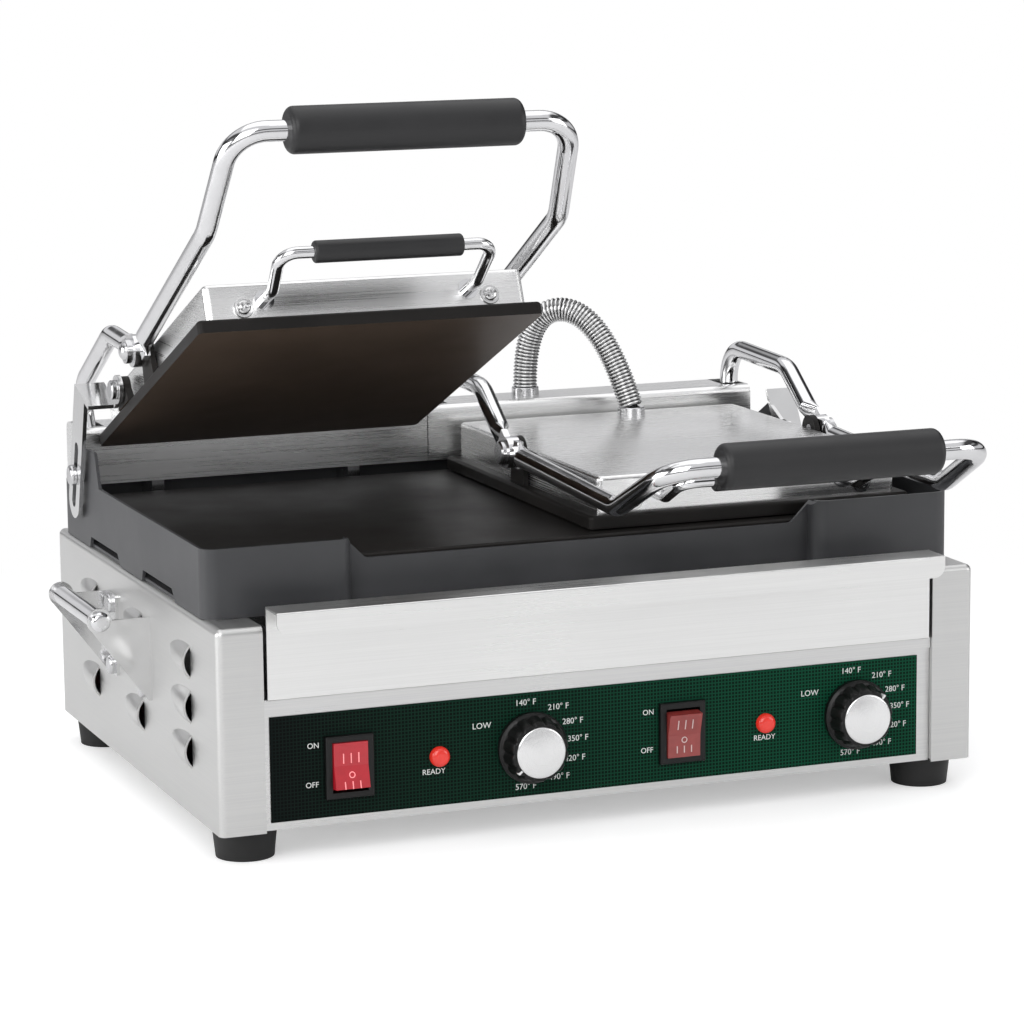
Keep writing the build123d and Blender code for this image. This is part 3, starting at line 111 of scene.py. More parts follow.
# Knob profiles: radius, distance out from the base, and whether the flutes cut it
KNOB_BASE = 2.4
BLACK_PLASTIC = (0.006, 0.006, 0.006)
KNOB_FLUTES = 14
KNOB_SIDES = 112
KNOB_FLUTE_DEPTH = 1.3
KNOB_SHAPE = (
    (0.0, 0.0, False),
    (21.25, 0.0, False),
    (21.25, 3.0, False),
    (20.4, 4.0, False),
    (19.7, 4.5, False),
    (19.6, 4.7, True),
    (18.4, 10.0, True),
    (17.7, 13.6, True),
    (17.0, 14.7, True),
    (15.6, 15.0, False),
    (0.0, 15.0, False),
)
DISC_SHAPE = (
    (0.0, 14.9, False),
    (15.0, 14.9, False),
    (15.0, 15.8, False),
    (14.6, 16.2, False),
    (14.0, 16.4, False),
    (0.0, 16.4, False),
)


def at(x, y, z):
    return Vector((x * MM, (y - SHIFT_Y) * MM, z * MM))


# Camera
def make_camera():
    az, el, roll = CAMERA_ANGLES
    forward = Vector((math.sin(az) * math.cos(el), math.cos(az) * math.cos(el), -math.sin(el)))
    right = Vector((math.cos(az), -math.sin(az), 0.0))
    up = right.cross(forward)
    c, s = math.cos(roll), math.sin(roll)
    across = right * c + up * s
    above = up * c - right * s
    turn = Matrix((across, above, -forward)).transposed().to_4x4()
    data = bpy.data.cameras.new("camera")
    data.lens = CAMERA_LENS
    data.sensor_width = CAMERA_SENSOR
    data.sensor_height = CAMERA_SENSOR
    data.sensor_fit = "HORIZONTAL"
    data.clip_end = 60.0
    camera = bpy.data.objects.new("camera", data)
    camera.matrix_world = Matrix.Translation(at(*CAMERA_PLACE)) @ turn
    bpy.context.scene.collection.objects.link(camera)
    bpy.context.scene.camera = camera


# Studio
def area_light(name, place, target, size, power):
    data = bpy.data.lights.new(name, "AREA")
    data.energy = power
    data.shape = "RECTANGLE"
    data.size, data.size_y = size
    lamp = bpy.data.objects.new(name, data)
    aim = (Vector(target) - Vector(place)).to_track_quat("-Z", "Y")
    lamp.matrix_world = Matrix.Translation(Vector(place)) @ aim.to_matrix().to_4x4()
    bpy.context.scene.collection.objects.link(lamp)


def make_world():
    world = bpy.data.worlds.new("studio")
    bpy.context.scene.world = world
    world.use_nodes = True
    tree = world.node_tree
    tree.nodes.clear()
    out = tree.nodes.new("ShaderNodeOutputWorld")
    light = tree.nodes.new("ShaderNodeBackground")
    shown = tree.nodes.new("ShaderNodeBackground")
    mix = tree.nodes.new("ShaderNodeMixShader")
    path = tree.nodes.new("ShaderNodeLightPath")
    coords = tree.nodes.new("ShaderNodeTexCoord")
    split = tree.nodes.new("ShaderNodeSeparateXYZ")
    tree.links.new(coords.outputs["Generated"], split.inputs[0])
    ramp = tree.nodes.new("ShaderNodeValToRGB")
    tree.links.new(split.outputs["Z"], ramp.inputs["Fac"])
    steps = ramp.color_ramp.elements
    steps[0].position, steps[0].color = 0.0, WORLD_LOW
    steps[1].position, steps[1].color = 1.0, WORLD_HIGH
    for place, value in WORLD_BANDS:
        steps.new(place).color = (value, value, value * 1.02, 1)
    light.inputs["Strength"].default_value = WORLD_LIGHT
    size = tree.nodes.new("ShaderNodeMath")
    size.operation = "ABSOLUTE"
    tree.links.new(split.outputs["X"], size.inputs[0])
    across = tree.nodes.new("ShaderNodeValToRGB")
    tree.links.new(size.outputs[0], across.inputs["Fac"])
    walls = across.color_ramp.elements
    walls[0].position, walls[0].color = 0.0, (1, 1, 1, 1)
    walls[1].position, walls[1].color = 1.0, (0.85, 0.85, 0.85, 1)
    for place, value in WORLD_SIDES:
        walls.new(place).color = (value, value, value, 1)
    shade = tree.nodes.new("ShaderNodeMix")
    shade.data_type = "RGBA"
    shade.blend_type = "MULTIPLY"
    shade.inputs["Factor"].default_value = 1.0
    tree.links.new(ramp.outputs["Color"], shade.inputs[6])
    tree.links.new(across.outputs["Color"], shade.inputs[7])
    tree.links.new(shade.outputs[2], light.inputs["Color"])
    shown.inputs["Color"].default_value = (1, 1, 1, 1)
    shown.inputs["Strength"].default_value = 1.0
    tree.links.new(path.outputs["Is Camera Ray"], mix.inputs[0])
    tree.links.new(light.outputs[0], mix.inputs[1])
    tree.links.new(shown.outputs[0], mix.inputs[2])
    tree.links.new(mix.outputs[0], out.inputs[0])


def make_floor():
    corners = [(x * FLOOR_HALF, y * FLOOR_HALF, 0) for x, y in ((-1, -1), (1, -1), (1, 1), (-1, 1))]
    mesh = bpy.data.meshes.new("floor")
    mesh.from_pydata(corners, [], [(0, 1, 2, 3)])
    floor = bpy.data.objects.new("floor", mesh)
    bpy.context.scene.collection.objects.link(floor)
    floor.location.z = -FLOOR_DROP
    mat = bpy.data.materials.new("floor")
    mat.use_nodes = True
    tree = mat.node_tree
    tree.nodes.clear()
    out = tree.nodes.new("ShaderNodeOutputMaterial")
    diffuse = tree.nodes.new("ShaderNodeBsdfDiffuse")
    diffuse.inputs["Color"].default_value = (0.86, 0.86, 0.86, 1)
    glow = tree.nodes.new("ShaderNodeEmission")
    glow.inputs["Strength"].default_value = FLOOR_GLOW
    near = tree.nodes.new("ShaderNodeAddShader")
    white = tree.nodes.new("ShaderNodeEmission")
    coords = tree.nodes.new("ShaderNodeTexCoord")
    away = tree.nodes.new("ShaderNodeVectorMath")
    away.operation = "LENGTH"
    fade = tree.nodes.new("ShaderNodeMapRange")
    fade.interpolation_type = "SMOOTHSTEP"
    fade.inputs["From Min"].default_value = FLOOR_FADE[0]
    fade.inputs["From Max"].default_value = FLOOR_FADE[1]
    path = tree.nodes.new("ShaderNodeLightPath")
    shown = tree.nodes.new("ShaderNodeMixShader")
    mix = tree.nodes.new("ShaderNodeMixShader")
    tree.links.new(coords.outputs["Object"], away.inputs[0])
    tree.links.new(away.outputs["Value"], fade.inputs["Value"])
    tree.links.new(diffuse.outputs[0], near.inputs[0])
    tree.links.new(glow.outputs[0], near.inputs[1])
    tree.links.new(fade.outputs["Result"], shown.inputs[0])
    tree.links.new(near.outputs[0], shown.inputs[1])
    tree.links.new(white.outputs[0], shown.inputs[2])
    tree.links.new(path.outputs["Is Camera Ray"], mix.inputs[0])
    tree.links.new(diffuse.outputs[0], mix.inputs[1])
    tree.links.new(shown.outputs[0], mix.inputs[2])
    tree.links.new(mix.outputs[0], out.inputs[0])
    mesh.materials.append(mat)


# Materials
def shader(name, color, rough, metal=0.0):
    mat = bpy.data.materials.new(name)
    mat.use_nodes = True
    bsdf = mat.node_tree.nodes["Principled BSDF"]
    bsdf.inputs["Base Color"].default_value = (*color, 1)
    bsdf.inputs["Roughness"].default_value = rough
    bsdf.inputs["Metallic"].default_value = metal
    return mat, mat.node_tree, bsdf


def noise(tree, scale, detail=4.0, stretch=(1, 1, 1)):
    coords = tree.nodes.new("ShaderNodeTexCoord")
    mapping = tree.nodes.new("ShaderNodeMapping")
    mapping.inputs["Scale"].default_value = stretch
    texture = tree.nodes.new("ShaderNodeTexNoise")
    texture.inputs["Scale"].default_value = scale
    texture.inputs["Detail"].default_value = detail
    tree.links.new(coords.outputs["Object"], mapping.inputs["Vector"])
    tree.links.new(mapping.outputs["Vector"], texture.inputs["Vector"])
    return texture.outputs["Fac"]


def ranged(tree, value, low, high, start=0.3, end=0.7):
    node = tree.nodes.new("ShaderNodeMapRange")
    node.inputs["From Min"].default_value = start
    node.inputs["From Max"].default_value = end
    node.inputs["To Min"].default_value = low
    node.inputs["To Max"].default_value = high
    tree.links.new(value, node.inputs["Value"])
    return node.outputs["Result"]


def tinted(tree, value, dark, light, start=0.3, end=0.7):
    ramp = tree.nodes.new("ShaderNodeValToRGB")
    ramp.color_ramp.elements[0].position = start
    ramp.color_ramp.elements[0].color = (*dark, 1)
    ramp.color_ramp.elements[1].position = end
    ramp.color_ramp.elements[1].color = (*light, 1)
    tree.links.new(value, ramp.inputs["Fac"])
    return ramp.outputs["Color"]


def bumped(tree, bsdf, value, strength, distance):
    bump = tree.nodes.new("ShaderNodeBump")
    bump.inputs["Strength"].default_value = strength
    bump.inputs["Distance"].default_value = distance
    tree.links.new(value, bump.inputs["Height"])
    tree.links.new(bump.outputs["Normal"], bsdf.inputs["Normal"])


def facing(tree, axis):
    geometry = tree.nodes.new("ShaderNodeNewGeometry")
    split = tree.nodes.new("ShaderNodeSeparateXYZ")
    size = tree.nodes.new("ShaderNodeMath")
    size.operation = "ABSOLUTE"
    above = tree.nodes.new("ShaderNodeMath")
    above.operation = "GREATER_THAN"
    above.inputs[1].default_value = 0.7
    tree.links.new(geometry.outputs["True Normal"], split.inputs[0])
    tree.links.new(split.outputs[axis], size.inputs[0])
    tree.links.new(size.outputs[0], above.inputs[0])
    return above.outputs[0]


def combined(tree, factor, first, second):
    mix = tree.nodes.new("ShaderNodeMix")
    mix.data_type = "FLOAT"
    tree.links.new(factor, mix.inputs["Factor"])
    tree.links.new(first, mix.inputs[2])
    tree.links.new(second, mix.inputs[3])
    return mix.outputs[0]


def grain(tree, along, scale, detail):
    stretch = [1.0, 1.0, 1.0]
    stretch[along] = 0.008
    return noise(tree, scale, detail, stretch)


BRUSHED_LIGHT = (0.76, 0.76, 0.75)
BRUSHED_DARK = (0.69, 0.69, 0.69)


def brushed(name, along, turned, light=BRUSHED_LIGHT, dark=BRUSHED_DARK, rough=(0.26, 0.36)):
    mat, tree, bsdf = shader(name, light, 0.3, 1.0)
    mask = facing(tree, "XYZ"[along])
    fine = combined(tree, mask, grain(tree, along, 1500.0, 3.0), grain(tree, turned, 1500.0, 3.0))
    broad = noise(tree, 7.0, 2.0)
    tree.links.new(tinted(tree, fine, dark, light), bsdf.inputs["Base Color"])
    mixed = tree.nodes.new("ShaderNodeMath")
    mixed.operation = "MULTIPLY"
    tree.links.new(ranged(tree, fine, rough[0], rough[1]), mixed.inputs[0])
    tree.links.new(ranged(tree, broad, 0.85, 1.2), mixed.inputs[1])
    tree.links.new(mixed.outputs[0], bsdf.inputs["Roughness"])
    bumped(tree, bsdf, fine, 0.08, 0.00012)
    return mat


def polished(name, color=(0.80, 0.80, 0.81), rough=(0.05, 0.14)):
    mat, tree, bsdf = shader(name, color, rough[0], 1.0)
    wear = noise(tree, 70.0, 5.0)
    tree.links.new(ranged(tree, wear, rough[0], rough[1]), bsdf.inputs["Roughness"])
    tree.links.new(tinted(tree, wear, [c * 0.94 for c in color], color), bsdf.inputs["Base Color"])
    return mat


def cast(name, dark, light, rough, pitting, depth, gleam=0.5):
    mat, tree, bsdf = shader(name, light, rough[0], 0.0)
    bsdf.inputs["Specular IOR Level"].default_value = gleam
    patch = noise(tree, 14.0, 5.0)
    pits = noise(tree, pitting, 3.0)
    tree.links.new(tinted(tree, patch, dark, light), bsdf.inputs["Base Color"])
    tree.links.new(ranged(tree, patch, rough[0], rough[1]), bsdf.inputs["Roughness"])
    bumped(tree, bsdf, pits, 0.25, depth)
    return mat


def coated_plate():
    black, soot = (0.010, 0.0095, 0.009), (0.019, 0.017, 0.016)
    mat = cast("cast_plate", black, soot, (0.36, 0.50), 900.0, 0.0002, 0.14)
    tree = mat.node_tree
    bsdf = tree.nodes["Principled BSDF"]
    geometry = tree.nodes.new("ShaderNodeNewGeometry")
    split = tree.nodes.new("ShaderNodeSeparateXYZ")
    under = tree.nodes.new("ShaderNodeMath")
    under.operation = "LESS_THAN"
    under.inputs[1].default_value = -0.7
    tree.links.new(geometry.outputs["True Normal"], split.inputs[0])
    tree.links.new(split.outputs["Z"], under.inputs[0])
    # Downward-facing faces get a lighter brown colour and a stronger specular level.
    underside_brown = tinted(tree, noise(tree, 9.0, 3.0), (0.058, 0.040, 0.028), (0.088, 0.062, 0.045))
    mix = tree.nodes.new("ShaderNodeMix")
    mix.data_type = "RGBA"
    tree.links.new(under.outputs[0], mix.inputs["Factor"])
    tree.links.new(bsdf.inputs["Base Color"].links[0].from_socket, mix.inputs[6])
    tree.links.new(underside_brown, mix.inputs[7])
    tree.links.new(mix.outputs[2], bsdf.inputs["Base Color"])
    gleam = ranged(tree, under.outputs[0], 0.14, 0.60, 0.0, 1.0)
    tree.links.new(gleam, bsdf.inputs["Specular IOR Level"])
    return mat


def moulded(name, color, rough, texture=1400.0, strength=0.12, gleam=0.5):
    mat, tree, bsdf = shader(name, color, rough[0], 0.0)
    bsdf.inputs["Specular IOR Level"].default_value = gleam
    skin = noise(tree, texture, 2.0)
    haze = noise(tree, 40.0, 3.0)
    tree.links.new(ranged(tree, haze, rough[0], rough[1]), bsdf.inputs["Roughness"])
    tree.links.new(tinted(tree, haze, [c * 0.85 for c in color], color), bsdf.inputs["Base Color"])
    bumped(tree, bsdf, skin, strength, 0.0001)
    return mat


def label_material():
    mat, tree, bsdf = shader("label_face", (0.01, 0.03, 0.02), 0.42, 0.0)
    bsdf.inputs["Specular IOR Level"].default_value = 0.07
    coords = tree.nodes.new("ShaderNodeTexCoord")
    split = tree.nodes.new("ShaderNodeSeparateXYZ")
    tree.links.new(coords.outputs["Object"], split.inputs[0])
    lines = []
    for axis in ("X", "Z"):
        cells = tree.nodes.new("ShaderNodeMath")
        cells.operation = "MULTIPLY"
        cells.inputs[1].default_value = 1 / (GRID_PITCH * MM)
        part = tree.nodes.new("ShaderNodeMath")
        part.operation = "FRACT"
        edge = tree.nodes.new("ShaderNodeMath")
        edge.operation = "GREATER_THAN"
        edge.inputs[1].default_value = GRID_LINE
        tree.links.new(split.outputs[axis], cells.inputs[0])
        tree.links.new(cells.outputs[0], part.inputs[0])
        tree.links.new(part.outputs[0], edge.inputs[0])
        lines.append(edge.outputs[0])
    grid = tree.nodes.new("ShaderNodeMath")
    grid.operation = "MAXIMUM"
    tree.links.new(lines[0], grid.inputs[0])
    tree.links.new(lines[1], grid.inputs[1])
    fade = tree.nodes.new("ShaderNodeMapRange")
    fade.inputs["From Min"].default_value = LABEL_SPAN[0] * MM
    fade.inputs["From Max"].default_value = LABEL_SPAN[1] * MM
    tree.links.new(split.outputs["X"], fade.inputs["Value"])
    along = fade.outputs["Result"]
    ground = tinted(tree, along, (0.0008, 0.0012, 0.0012), (0.0008, 0.009, 0.005), 0.0, 0.8)
    mesh = tinted(tree, along, (0.004, 0.008, 0.007), (0.004, 0.065, 0.032), 0.0, 0.8)
    mix = tree.nodes.new("ShaderNodeMix")
    mix.data_type = "RGBA"
    tree.links.new(grid.outputs[0], mix.inputs["Factor"])
    tree.links.new(ground, mix.inputs[6])
    tree.links.new(mesh, mix.inputs[7])
    tree.links.new(mix.outputs[2], bsdf.inputs["Base Color"])
    return mat


def glowing(name, color, light, strength, rough):
    mat, tree, bsdf = shader(name, color, rough, 0.0)
    haze = noise(tree, 160.0, 3.0)
    tree.links.new(tinted(tree, haze, [c * 0.8 for c in color], color), bsdf.inputs["Base Color"])
    bsdf.inputs["Emission Color"].default_value = (*light, 1)
    bsdf.inputs["Emission Strength"].default_value = strength
    bsdf.inputs["Coat Weight"].default_value = 0.6
    return mat


def spun(name, centre):
    mat, tree, bsdf = shader(name, (0.91, 0.91, 0.91), 0.24, 1.0)
    coords = tree.nodes.new("ShaderNodeTexCoord")
    away = tree.nodes.new("ShaderNodeVectorMath")
    away.operation = "DISTANCE"
    away.inputs[1].default_value = centre
    rings = tree.nodes.new("ShaderNodeTexNoise")
    rings.noise_dimensions = "1D"
    rings.inputs["Scale"].default_value = 5200.0
    tree.links.new(coords.outputs["Object"], away.inputs[0])
    tree.links.new(away.outputs["Value"], rings.inputs["W"])
    tree.links.new(ranged(tree, rings.outputs["Fac"], 0.16, 0.36), bsdf.inputs["Roughness"])
    bumped(tree, bsdf, rings.outputs["Fac"], 0.25, 0.0001)
    return mat


def give(mat, *names):
    for name in names:
        data = nodes[name].data
        data.materials.clear()
        data.materials.append(mat)
        for face in data.polygons:
            face.material_index = 0


def each_side(*names):
    return [side + name for side in ("left_", "right_") for name in names]


def dress_nodes():
    side = brushed("brushed_side", 1, 0, (0.70, 0.70, 0.69), (0.65, 0.65, 0.645), (0.30, 0.40))
    give(side, *each_side("side_panel"))
    give(brushed("brushed_tray", 0, 1, (0.91, 0.91, 0.90), (0.86, 0.86, 0.85)), "drip_tray")
    front = brushed("brushed_front", 0, 1)
    give(front, "tray_shelf", "control_panel", "back_panel", "bottom_panel")
    lid = brushed("brushed_lid", 0, 1, (0.90, 0.90, 0.895), (0.85, 0.85, 0.845), (0.22, 0.34))
    give(lid, *each_side("lid_cover", "hinge_cover"))
    satin = polished("satin_strap", (0.76, 0.76, 0.76), (0.12, 0.22))
    give(satin, "carry_brackets", *each_side("guide_link"))
    give(polished("bright_rod"), "carry_tubes", *each_side("handle_frame", "rear_arms", "aux_rod"))
    zinc = polished("bright_fixing", (0.66, 0.66, 0.67), (0.14, 0.28))
    give(zinc, "carry_bolts", "foot_screws", "slot_bolts", "conduit_base_fittings")
    give(zinc, "hinge_bearings", "counterbalance_springs")
    give(zinc, *each_side("tilt_bolts", "lid_fitting", "guide_bolt"))
    enamel = ((0.041, 0.042, 0.045), (0.060, 0.061, 0.065), (0.36, 0.50))
    give(cast("enamel_pan", *enamel, 1100.0, 0.0002), "splash_pan")
    give(coated_plate(), "lower_plate", *each_side("upper_plate"))
    scale = ((0.05, 0.04, 0.035), (0.11, 0.09, 0.08), (0.4, 0.6))
    sheath = cast("element_sheath", *scale, 600.0, 0.0002)
    give(sheath, "lower_elements", *each_side("upper_element"))
    grip = moulded("grip_plastic", (0.021, 0.021, 0.022), (0.38, 0.50), gleam=0.42)
    give(grip, *each_side("grip", "aux_sleeve"))
    black = moulded("knob_plastic", BLACK_PLASTIC, (0.26, 0.38), gleam=0.35)
    give(black, "switch_bezels", "thermostats", "cable_gland")
    give(moulded("foot_rubber", (0.010, 0.010, 0.010), (0.5, 0.7), 500.0, 0.3), "feet")
    give(label_material(), "control_label")
    give(glowing("lamp_lens", (0.60, 0.02, 0.012), (1.0, 0.05, 0.03), 0.28, 0.20), "lamps")
    give(glowing("lit_rocker", (0.36, 0.008, 0.016), (1.0, 0.02, 0.05), 0.14, 0.3), "left_rocker")
    # The switched-off rocker keeps a faint red emission: painted glow on an unlit switch.
    give(glowing("unlit_rocker_painted_glow", (0.30, 0.045, 0.04), (0.3, 0.02, 0.02), 0.05, 0.3), "right_rocker")


# Shared ways to make a piece
def placed(name, mesh):
    obj = bpy.data.objects.new(name, mesh)
    bpy.context.scene.collection.objects.link(obj)
    return obj


def mark(name, verts, faces, mat, body):
    mesh = bpy.data.meshes.new(name)
    mesh.from_pydata(verts, [], faces)
    mesh.validate()
    mesh.materials.append(mat)
    obj = placed(name, mesh)
    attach(obj, body)


def revolved(name, columns):
    size = len(columns[0])
    faces = []
    for k in range(len(columns)):
        here, after = k * size, (k + 1) % len(columns) * size
        for i in range(size - 1):
            faces.append((here + i, after + i, after + i + 1, here + i + 1))
    mesh = bpy.data.meshes.new(name)
    mesh.from_pydata([place for column in columns for place in column], [], faces)
    work = bmesh.new()
    work.from_mesh(mesh)
    bmesh.ops.remove_doubles(work, verts=work.verts[:], dist=1e-7)
    bmesh.ops.recalc_face_normals(work, faces=work.faces[:])
    work.to_mesh(mesh)
    work.free()
    return placed(name, mesh)


# Words and marks on the label
def flat_mesh(obj):
    graph = bpy.context.evaluated_depsgraph_get()
    mesh = bpy.data.meshes.new_from_object(obj.evaluated_get(graph))
    made = placed(obj.name + "_mark", mesh)
    made.matrix_world = obj.matrix_world.copy()
    bpy.data.objects.remove(obj)
    return made


def word(name, text, x, z, height, mat):
    curve = bpy.data.curves.new(name, "FONT")
    curve.body = text
    curve.size = height / CAPITAL_SHARE * MM
    curve.align_x = "CENTER"
    curve.align_y = "CENTER"
    curve.extrude = PRINT_DEPTH * MM
    curve.resolution_u = 3
    obj = placed(name, curve)
    upright = Matrix.Rotation(math.pi / 2, 4, "X")
    obj.matrix_world = Matrix.Translation(at(x, LABEL_Y - PRINT_LIFT, z)) @ upright
    bpy.context.view_layer.update()
    made = flat_mesh(obj)
    made.data.materials.clear()
    made.data.materials.append(mat)
    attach(made, "housing")


DIAL = (
    ("LOW", -30.7, 15.4),
    ("140° F", -3.3, 26.8),
    ("210° F", 17.2, 22.5),
    ("280° F", 26.2, 13.1),
    ("350° F", 29.4, 2.5),
    ("420° F", 27.4, -9.2),
    ("490° F", 17.4, -19.4),
    ("570° F", -3.6, -23.3),
)


def label_words():
    ink = moulded("white_ink", (0.80, 0.82, 0.80), (0.4, 0.55))
    for index, name in enumerate(("left", "right")):
        for text, dx, dz in DIAL:
            tag = "".join(c for c in text if c.isalnum())
            word(name + "_dial_" + tag, text, KNOB_X[index] + dx, CONTROL_Z + dz, DIAL_TEXT, ink)
        word(name + "_on", "ON", SWITCH_X[index] - 21.3, CONTROL_Z + 13.5, SMALL_TEXT, ink)
        word(name + "_off", "OFF", SWITCH_X[index] - 22.2, CONTROL_Z - 9.4, SMALL_TEXT, ink)
        word(name + "_ready", "READY", KNOB_X[index] - 60.5, CONTROL_Z - 8.8, SMALL_TEXT, ink)


def knob_marks():
    ink = moulded("pointer_ink", (0.85, 0.85, 0.85), (0.4, 0.5))
    inner, outer = POINTER_REACH
    wide = POINTER_HALF
    front, back = KNOB_BASE - POINTER_OUT[1], KNOB_BASE - POINTER_OUT[0]
    for index, name in enumerate(("left", "right")):
        angle = math.radians(POINTER_ANGLE[index])
        ux, uz = math.sin(angle), math.cos(angle)
        points = []
        for along, across in ((inner, -wide), (outer, -wide), (outer, wide), (inner, wide)):
            x = KNOB_X[index] + along * ux + across * uz
            z = CONTROL_Z + along * uz - across * ux
            points.append((x, z))
        verts = [at(x, y, z) for y in (front, back) for x, z in points]
        faces = [(0, 1, 2, 3), (7, 6, 5, 4)]
        faces += [(i, i + 4, (i + 1) % 4 + 4, (i + 1) % 4) for i in range(4)]
        mark(name + "_pointer", verts, faces, ink, name + "_knob")


# Fluted knobs with spun caps
def knob_piece(name, index, profile, mat, body):
    columns = []
    for k in range(KNOB_SIDES):
        turn = 2 * math.pi * k / KNOB_SIDES
        dent = KNOB_FLUTE_DEPTH * max(0.0, math.cos(KNOB_FLUTES * turn)) ** 2
        column = []
        for radius, out, fluted in profile:
            reach = radius - dent if fluted else radius
            x = KNOB_X[index] + reach * math.cos(turn)
            column.append(at(x, KNOB_BASE - out, CONTROL_Z + reach * math.sin(turn)))
        columns.append(column)
    obj = revolved(name, columns)
    obj.data.materials.append(mat)
    for face in obj.data.polygons:
        face.use_smooth = True
    obj.data.set_sharp_from_angle(angle=math.radians(35))
    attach(obj, body)
    return obj


def make_knobs():
    black = moulded("knob_black", BLACK_PLASTIC, (0.26, 0.38), gleam=0.35)
    disc_out = DISC_SHAPE[-1][1]
    for index, name in enumerate(("left", "right")):
        body = name + "_knob"
        knob = knob_piece(name + "_knob_body", index, KNOB_SHAPE, black, body)
        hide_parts(name + "_knob")
        metal = spun("spun_disc_" + name, at(KNOB_X[index], KNOB_BASE - disc_out, CONTROL_Z))
        disc = knob_piece(name + "_knob_disc", index, DISC_SHAPE, metal, body)
        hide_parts(name + "_knob_cap")


# Raised marks of the rockers
def surface_y(name, x, z):
    hit, place, _, _ = nodes[name].ray_cast(at(x, -60.0, z), Vector((0, 1, 0)))
    return place.y / MM + SHIFT_Y


def raised(name, node, rings, mat):
    verts, faces = [], []
    for ring in rings:
        base = len(verts)
        count = len(ring)
        for lift in (-MARK_LIFT, MARK_LIFT):
            for x, z in ring:
                verts.append(at(x, surface_y(node, x, z) + lift, z))
        faces.append(tuple(range(base, base + count)))
        faces.append(tuple(range(base + 2 * count - 1, base + count - 1, -1)))
        for i in range(count):
            j = (i + 1) % count
            faces.append((base + i, base + i + count, base + j + count, base + j))
    mark(name, verts, faces, mat, node)


def quad(x0, x1, z0, z1):
    return [(x0, z0), (x1, z0), (x1, z1), (x0, z1)]


def ring_parts(x, z, inner, outer, count=20):
    parts = []
    for k in range(count):
        a, b = 2 * math.pi * k / count, 2 * math.pi * (k + 1) / count
        corners = ((inner, a), (outer, a), (outer, b), (inner, b))
        parts.append([(x + r * math.cos(t), z + r * math.sin(t)) for r, t in corners])
    return parts


def rocker_marks():
    lit = glowing("lit_mark", (0.85, 0.30, 0.32), (1.0, 0.25, 0.25), 0.5, 0.3)
    pale = moulded("pale_mark", (0.72, 0.55, 0.54), (0.3, 0.4))
    for index, name in enumerate(("left", "right")):
        x = SWITCH_X[index]
        shapes = []
        for dx in (-4.6, 0.0, 4.6):
            shapes.append(quad(x + dx - 0.3, x + dx + 0.3, CONTROL_Z + 2.6, CONTROL_Z + 8.4))
            shapes.append(quad(x + dx - 0.3, x + dx + 0.3, CONTROL_Z - 11.8, CONTROL_Z - 7.6))
        shapes += ring_parts(x, CONTROL_Z - 4.0, 1.35, 1.85)
        mat = pale if index else lit
        raised(name + "_rocker_marks", name + "_rocker", shapes, mat)


def rounded_box(name, low, high, radius):
    mesh = bpy.data.meshes.new(name)
    work = bmesh.new()
    bmesh.ops.create_cube(work, size=1.0)
    for vert in work.verts:
        vert.co = Vector([low[k] if vert.co[k] < 0 else high[k] for k in range(3)])
    edges = work.edges[:]
    bmesh.ops.bevel(work, geom=edges, offset=radius * MM, segments=3, affect="EDGES", profile=0.5)
    work.to_mesh(mesh)
    work.free()
    return placed(name, mesh)


# Screws with washers on the lids' front edges
def lathe(name, profile):
    columns = []
    for k in range(SCREW_SIDES):
        turn = 2 * math.pi * k / SCREW_SIDES
        spot = [(radius * math.cos(turn), -out, radius * math.sin(turn)) for radius, out in profile]
        columns.append([Vector(place) * MM for place in spot])
    return revolved(name, columns)


def cut(obj, cutter):
    modifier = obj.modifiers.new("cut", "BOOLEAN")
    modifier.operation = "DIFFERENCE"
    modifier.solver = "EXACT"
    modifier.object = cutter
    graph = bpy.context.evaluated_depsgraph_get()
    mesh = bpy.data.meshes.new_from_object(obj.evaluated_get(graph))
    obj.modifiers.clear()
    obj.data = mesh
    bpy.data.objects.remove(cutter)


WASHER = ((0.0, -0.3), (5.9, -0.3), (6.0, 0.1), (6.0, 0.8), (5.7, 1.1), (0.0, 1.1))
HEAD = ((0.0, 0.9), (4.1, 0.9), (4.2, 1.8), (3.9, 2.7), (3.1, 3.4), (1.8, 3.7), (0.0, 3.8))


def lid_screws():
    zinc = polished("screw_zinc", (0.70, 0.70, 0.70), (0.12, 0.24))
    turn = Matrix.Rotation(math.radians(-LID_ANGLE), 4, "X")
    for side, name in ((-1, "left"), (1, "right")):
        place = opened(SCREW_PLACE) if side < 0 else SCREW_PLACE
        for index, dx in enumerate(SCREW_X):
            tag = name + "_lid_screw_" + str(index)
            head = lathe(tag, HEAD)
            spin = Matrix.Rotation(0.5 + index, 4, "Y")
            for wide, tall in ((SLOT_THIN, SLOT_LONG), (SLOT_LONG, SLOT_THIN)):
                low = (-wide * MM, SLOT_OUT[0] * MM, -tall * MM)
                high = (wide * MM, SLOT_OUT[1] * MM, tall * MM)
                bar = rounded_box("bar", low, high, 0.1)
                bpy.context.view_layer.update()
                cut(head, bar)
            washer = lathe(tag + "_washer", WASHER)
            for piece in (head, washer):
                piece.data.materials.clear()
                piece.data.materials.append(zinc)
                move = Matrix.Translation(at(side * LID_X + dx, place[0], place[1]))
                piece.data.transform(move @ (turn if side < 0 else Matrix.Identity(4)) @ spin)
                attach(piece, name + "_lid")


